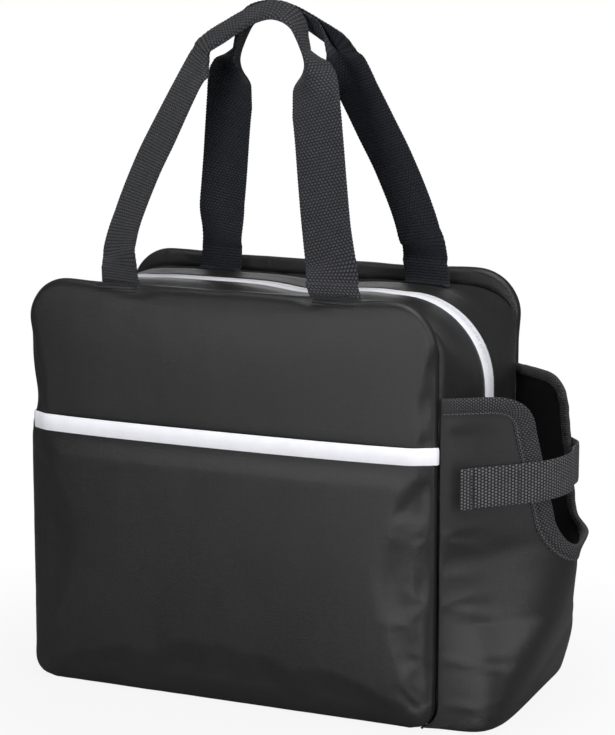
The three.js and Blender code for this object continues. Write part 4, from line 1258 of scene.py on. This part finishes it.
def stitch_line(name, line, material, body, slot, length, gap, radius=0.24):
    """A row of lock stitches along a line of (place, outward direction), in millimetres."""
    lengths = lengths_along([p for p, _ in line])

    def at(distance):
        k = max(i for i, l in enumerate(lengths[:-1]) if l <= distance)
        share = (distance - lengths[k]) / max(lengths[k + 1] - lengths[k], 1e-9)
        return line[k][0].lerp(line[k + 1][0], share), line[k][1]

    points, faces = [], []
    position = gap
    while position + length < lengths[-1]:
        (start, out), (stop, _) = at(position), at(position + length)
        across = (stop - start).normalized().cross(out).normalized()
        rings = []
        for share, size, lift in ((0.0, 0.35, -0.5), (0.16, 0.9, 0.25), (0.84, 0.9, 0.25), (1.0, 0.35, -0.5)):
            middle = start.lerp(stop, share) + out * (radius * lift)
            angles = [k * math.pi / 3 for k in range(6)]
            rings.append([middle + (across * math.cos(a) + out * math.sin(a)) * (radius * size) for a in angles])
        add_bead(points, faces, rings)
        position += length + gap
    finish_piece(make_closed(name, points, faces), material, slot, body)


# Webbing

TOOTH_PITCH, WEBBING_EDGE = 2.2, 0.45


def ribbon(name, sections, thickness, tooth=0.0):
    """Webbing through sections. Each section is a list of (place, outward direction) across its width.
    tooth is how far the loops of the weft stand out along its edges."""
    size = len(sections[0])
    lengths = lengths_along([section[size // 2][0] for section in sections])
    points, pattern = [], []
    for section, length in zip(sections, lengths):
        if tooth:
            for end, inner, shift in ((0, 1, 0.0), (size - 1, size - 2, math.pi)):
                way = (section[end][0] - section[inner][0]).normalized()
                out = tooth * (math.sin(length * 2 * math.pi / TOOTH_PITCH + shift) - 0.4)
                section[end] = (section[end][0] + way * out, section[end][1])
        across = lengths_along([p for p, _ in section])
        halves = [thickness / 2] * size
        halves[0] = halves[-1] = min(WEBBING_EDGE, thickness / 2)
        face = list(zip(section, halves, across))
        for (p, out), half, width in face:
            points.append(p + out * half)
            pattern.append((width * MM, length * MM))
        for (p, out), half, width in reversed(face):
            points.append(p - out * half)
            pattern.append(((width + 0.0005) * MM, length * MM))
    ring, last = 2 * size, (len(sections) - 1) * 2 * size
    faces = grid_faces(len(sections), ring, True)
    for k in range(size - 1):
        faces.append((k, k + 1, ring - 2 - k, ring - 1 - k))
        faces.append((last + k + 1, last + k, last + ring - 1 - k, last + ring - 2 - k))
    return make_closed(name, points, faces, pattern)


STRAP_START, STRAP_END, STRAP_TAIL = math.radians(25), math.radians(150), math.radians(164)
STRAP_WIDTH, STRAP_THICK = 25.4, 1.5
HEM_START, HEM_SPAN, HEM_THICK = STRAP_START - 0.012, 0.15, 1.3
PATCH_START, PATCH_SPAN, PATCH_WIDTH = math.radians(29), math.radians(17), 22


def strap_section(turn, out, width=STRAP_WIDTH, cells=10):
    middle = 157 + 6 * (turn - math.radians(26)) / (STRAP_TAIL - math.radians(26))
    places = [pouch_point(turn, middle + width * (k / cells - 0.5), out=out) for k in range(cells + 1)]
    return [(p, pouch_out(turn)) for p in places]


def strap_lift(turn):
    """How far the strap stands off the pocket: close where it is sewn, free at its tip, drawn in over the notch."""
    sewn = smooth((turn - STRAP_END + 0.35) / 0.35)
    tip = 1.8 * smooth((math.radians(34) - turn) / math.radians(12))
    degrees = math.degrees(turn)
    pulled_in = 7.8 * smooth((degrees - 62) / 32) * (1 - smooth((degrees - 98) / 14))
    return 3.7 * (1 - sewn) + 1.2 * sewn + tip - pulled_in


def make_strap():
    def piece(name, turns, lift, body, thick=STRAP_THICK, replaces=()):
        webbing = ribbon(name, [strap_section(t, lift(t)) for t in turns], thick)
        finish_piece(webbing, STRAP_WEBBING, "webbing", body=body, replaces=replaces, angle=55)

    def hem_lift(turn):
        return strap_lift(turn) + (1.45 if turn > HEM_START else 0.563)

    piece("pocket_strap", spread(STRAP_START, STRAP_END - 0.005, 90), strap_lift, "strap", replaces=["strap"])
    piece("pocket_strap_hem", spread(HEM_START, HEM_START + HEM_SPAN, 8), hem_lift, "strap", thick=HEM_THICK)
    for number, turn, lift in ((1, STRAP_START + 0.115, 2.35), (2, STRAP_START + 0.52, 0.95)):
        line = [(p + n * lift, n) for p, n in strap_section(turn, strap_lift(turn), STRAP_WIDTH - 3)]
        stitch_line("strap_stitches_" + str(number), line, THREAD, "strap", "webbing", length=2.0, gap=0.5)
    piece("pocket_strap_tail", spread(STRAP_END, STRAP_TAIL, 10), lambda t: 1.2, "bag", replaces=["strap_tail"])
    for kind, out, body, material in (("loop", 1.0, "bag", LOOP), ("hook", 2.25, "strap", HOOK)):
        turns = spread(PATCH_START, PATCH_START + PATCH_SPAN, 12)
        patch = ribbon(kind + "_patch_pile", [strap_section(t, out, PATCH_WIDTH, 8) for t in turns], 1.0)
        finish_piece(patch, material, "hook_and_loop", body=body, replaces=[kind + "_patch"], angle=40)


WEB_WIDTH, WEB_THICK, WEB_CELLS, WEB_TOOTH = 34.0, 1.6, 8, 0.17
# Each station of the front handle, from its left foot to its right foot: the place of the middle of the webbing,
# then the directions of its outer and inner half, in degrees round it, from outwards (0) towards the front (90).
HANDLE_STATIONS = (
    (-81.5, -63.2, 281, -19, 161), (-84.5, -57.5, 293, -24, 156), (-81.5, -50.4, 314, -32, 148),
    (-72.5, -41.5, 344, -33, 147), (-62.5, -34, 369, -34, 146), (-53.5, -27.5, 391, -37, 143),
    (-46.5, -22.5, 407, -39, 141), (-42, -20, 414.5, -40, 146), (-37, -18, 419.5, -39, 318),
    (-28, -16.5, 425, -38, 322), (-18, -15.5, 431.5, -42, 318), (-8, -15.5, 437, -46, 314),
    (3, -15.5, 440.3, -50, 310), (12, -16.3, 439.3, -58, 302), (18.7, -16.8, 435.5, -75, 285),
    (23.5, -17.3, 429.5, -92, 268), (27.5, -18, 422.5, -100, 260), (30.5, -19, 416.5, -82, 256),
    (33, -20.2, 411.5, -60, 232), (35, -21.8, 406.5, -45, 213), (37, -23.4, 401, -32, 200),
    (40, -26, 392.5, -16, 190), (43, -29, 383, -4, 180), (47.5, -34.5, 366, 0, 180),
    (54, -43.3, 338, 0, 180), (60.5, -51.5, 311, 0, 180), (67, -58.7, 289, -5, 175), (69.6, -62.4, 280, -9, 171),
)
FOOT_TIPS = {"front": (-77, 76), "back": (-87.5, 67)}
# Heights of three rows of dark stitches on the front wall under each foot of the front handle: real box stitching, dark
# enough to paint the shade below the sewn end too.
STITCH_HEIGHTS = (270.4, 268.8, 267.2)
VIEW_WAY = np.array((-0.411, 0.893, 0.182))
HANDLE_HINGE, HANDLE_BEND = 66.5, (272.0, 283.0)


def handle_line(steps=34):
    """Places and wing directions along the webbing, smoothly between the stations."""
    rows = [np.array(r, float) for r in HANDLE_STATIONS]
    rows = [2 * rows[0] - rows[1]] + rows + [2 * rows[-1] - rows[-2]]
    out = []
    for a, b, c, d in zip(rows, rows[1:], rows[2:], rows[3:]):
        for k in range(steps):
            t = k / steps
            place = 0.5 * (2 * b + (c - a) * t + (2 * a - 5 * b + 4 * c - d) * t * t + (3 * b - a - 3 * c + d) * t ** 3)
            folding = abs(c[4] - b[4]) > 60
            place[3:] = (b + (c - b) * (smooth(t) if folding else t))[3:]
            out.append(place)
    return np.array(out + [rows[-2]])


def line_lengths(line):
    return np.concatenate([[0], np.cumsum(np.linalg.norm(np.diff(line[:, :3], axis=0), axis=1))])


def back_handle_line():
    """The back handle's line: the front one's, leaning and folding a little differently."""
    line = handle_line()
    for row in line:
        row[0] += 4 * smooth((row[2] - 275) / 40) * smooth(row[0] / 15)
        left = smooth((-row[0] - 34) / 12)
        row[0] += left * 5 * smooth((row[2] - 276) / 24)
        row[3], row[4] = row[3] * (1 - 0.55 * left), row[4] + (180 - row[4]) * 0.55 * left
        row[3:] += 20 * smooth(row[0] / 15) * smooth((310 - row[2]) / 28)
        row[:3] += VIEW_WAY * 8 * smooth((345 - row[2]) / 65)
    lengths = line_lengths(line)
    unfolding = np.mean([np.interp(lengths + d, lengths, line[:, 4]) for d in (-6, 0, 6, 12, 18, 24)], axis=0)
    for row, inner in zip(line, unfolding):
        row[4] += (inner - row[4]) * smooth((-row[0] - 20) / 10) if row[2] > 370 else 0
    return line


def handle_section(line, lengths, i, slant):
    """Webbing across its width at one place of the handle, as two wings on either side of its middle."""
    place, outer, inner = Vector(line[i, :3]), line[i, 3], line[i, 4]
    before, after = neighbours(line, i, 2)
    along = Vector(after[:3] - before[:3]).normalized()
    upright = Vector((0, 0, 1 if i < (len(line) - 1) / 2 else -1))
    along = upright.lerp(along, smooth(min(lengths[i], lengths[-1] - lengths[i]) / 16)).normalized()
    front = Vector((0, -1, 0))
    front = (front - along * front.dot(along)).normalized()
    outwards = front.cross(along)
    way = lambda degrees: outwards * math.cos(math.radians(degrees)) + front * math.sin(math.radians(degrees))
    middle = (outer + inner) / 2
    ridge = 1.1 + 3.2 * (1 - clamp01((inner - outer - 180) / 170))
    step = WEB_WIDTH / 2 / WEB_CELLS
    wings = []
    for sign in (-1, 1):
        at, wing = place.copy(), [(place, way(middle))]
        for k in range(WEB_CELLS):
            far = (k + 0.5) * step
            goal = outer
            if sign > 0:
                goal = np.interp(lengths[i] + slant * far, lengths, line[:, 4]) if line[i, 0] < -20 else inner
            share = math.tanh(far / ridge)
            degrees = (middle + sign * 90) * (1 - share) + goal * share
            at = at + way(degrees) * step
            wing.append((at, way(degrees - sign * 90)))
        wings.append(wing)
    return wings[0][:0:-1] + wings[1]


def foot_path(label, top, x, lean):
    """The sewn end of the webbing, from its tip up to the handle. The front one lies over the edge of its wall and
    the back one on the gusset, whose height top gives."""
    if label == "front":
        path = [(-69.3, 269.0), (-68.4, 271.0), (-67.3, 273.2), (-65.6, 276.6), (-64.2, 279.0)]
    else:
        lying = [(y, top(x, y) + lift) for y, lift in ((-45.5, 1.0), (-47.5, 1.0), (-50, 1.0), (-52.6, 2.2))]
        path = lying + [(-54.4, 270), (-55.2, 278.5)]
    line = even_points([Vector(p) for p in path], 1.5)
    relaxed = [a * 0.25 + b * 0.5 + c * 0.25 for a, b, c in zip(line, line[1:], line[2:])]
    tip, high = path[0][1], path[-1][1] - path[0][1]
    line = even_points([line[0]] + relaxed + [line[-1]], 0.9)
    return [Vector((x + lean * (p.y - tip) / high, p.x, p.y)) for p in line]


def foot_sections(path, turn, rest):
    """Webbing along a path, turned by that angle. With rest, its tip lies on cloth of that height."""
    sections = []
    for i, p in enumerate(path):
        before, after = neighbours(path, i)
        share = i / (len(path) - 1)
        angle = math.radians(turn) * (0.8 + 0.2 * smooth(share))
        across = Vector((math.cos(angle), math.sin(angle), 0))
        out = across.cross((after - before).normalized()).normalized()
        section = []
        for k in range(2 * WEB_CELLS + 1):
            place = p + across * (WEB_WIDTH * (k / (2 * WEB_CELLS) - 0.5))
            if rest:
                place.z += (rest(place.x, place.y) + 1.0 - place.z) * (1 - smooth((share - 0.25) / 0.4))
            section.append((place, out))
        sections.append(section)
    return sections


def face_alike(feet, body):
    """Turns the sections of a foot so that they run and face as the handle's end does."""
    for k, section in enumerate(feet):
        if (section[-1][0].x - section[0][0].x) * (body[-1][0].x - body[0][0].x) < 0:
            section.reverse()
        if section[0][1].dot(body[WEB_CELLS][1]) < 0:
            feet[k] = [(p, -n) for p, n in section]


def make_handle(label, surface):
    """Webbing folded lengthwise round the grip. The back handle is the front one turned half round."""
    is_front = label == "front"
    line = handle_line() if is_front else back_handle_line()
    lengths, side = line_lengths(line), -1 if is_front else 1
    sections = [handle_section(line, lengths, i, 0.8 if is_front else -0.8) for i in range(len(line))]

    def rest(x, y):
        hit = cast(surface, (-x, -y, 300), (0, 0, -1))[0]
        return hit.z / MM if hit else 270.0

    tips, feet = FOOT_TIPS[label], []
    for tip, end, way in ((tips[0], line[0], 1), (tips[1], line[-1], -1)):
        path = foot_path(label, rest, tip, end[0] - tip)
        feet.append(foot_sections(path, way * end[3], None if is_front else rest)[::way])
        face_alike(feet[-1], sections[0 if way > 0 else -1])
    left, right = feet
    sections = left + sections + right
    if not is_front:
        half_turn = lambda v: Vector((-v.x, -v.y, v.z))
        sections = [[(half_turn(p), half_turn(n)) for p, n in section] for section in sections]
    rows = []
    for k in (1, 4, len(sections) - 2, len(sections) - 5):
        normal = sections[k][WEB_CELLS][1]
        out = 1.0 if normal.z > 0 or normal.y * side > 0 else -1.0
        rows.append([(p + n * out * 0.95, n * out) for p, n in sections[k][1:-1]])
    # Rows of dark stitches on the wall under each foot, which also paint the shade below the sewn end.
    if is_front:
        for tip in tips:
            for z in STITCH_HEIGHTS:
                hits = [cast(surface, (tip - 15 + 2 * k, -200, z), (0, 1, 0)) for k in range(16)]
                rows.append([(hit / MM + normal * 0.25, normal) for hit, normal in hits])
    for k, row in enumerate(rows):
        name = label + "_handle_stitches_" + str(k + 1)
        stitch_line(name, row, DARK_THREAD_AND_SHADE, label + "_mouth", "webbing", length=1.6, gap=0.5, radius=0.42)
    bend = [label + "_mouth", label + "_handle"] + [(0, side * HANDLE_HINGE * MM, z * MM) for z in HANDLE_BEND]
    handle = ribbon(label + "_webbing_handle", sections, WEB_THICK, WEB_TOOTH)
    finish_piece(handle, HANDLE_WEBBING[label], "webbing", replaces=[label + "_handle"], angle=60, bend=bend)


def main():
    place_camera()
    studio()
    cover = make_cover()
    make_zip()
    make_lining()
    make_front_pocket(cover["front_wall"])
    make_bottle_pocket()
    make_handle("front", surface_of(cover["front_wall"]))
    make_handle("back", surface_of(cover["back_top_gusset"]))


main()
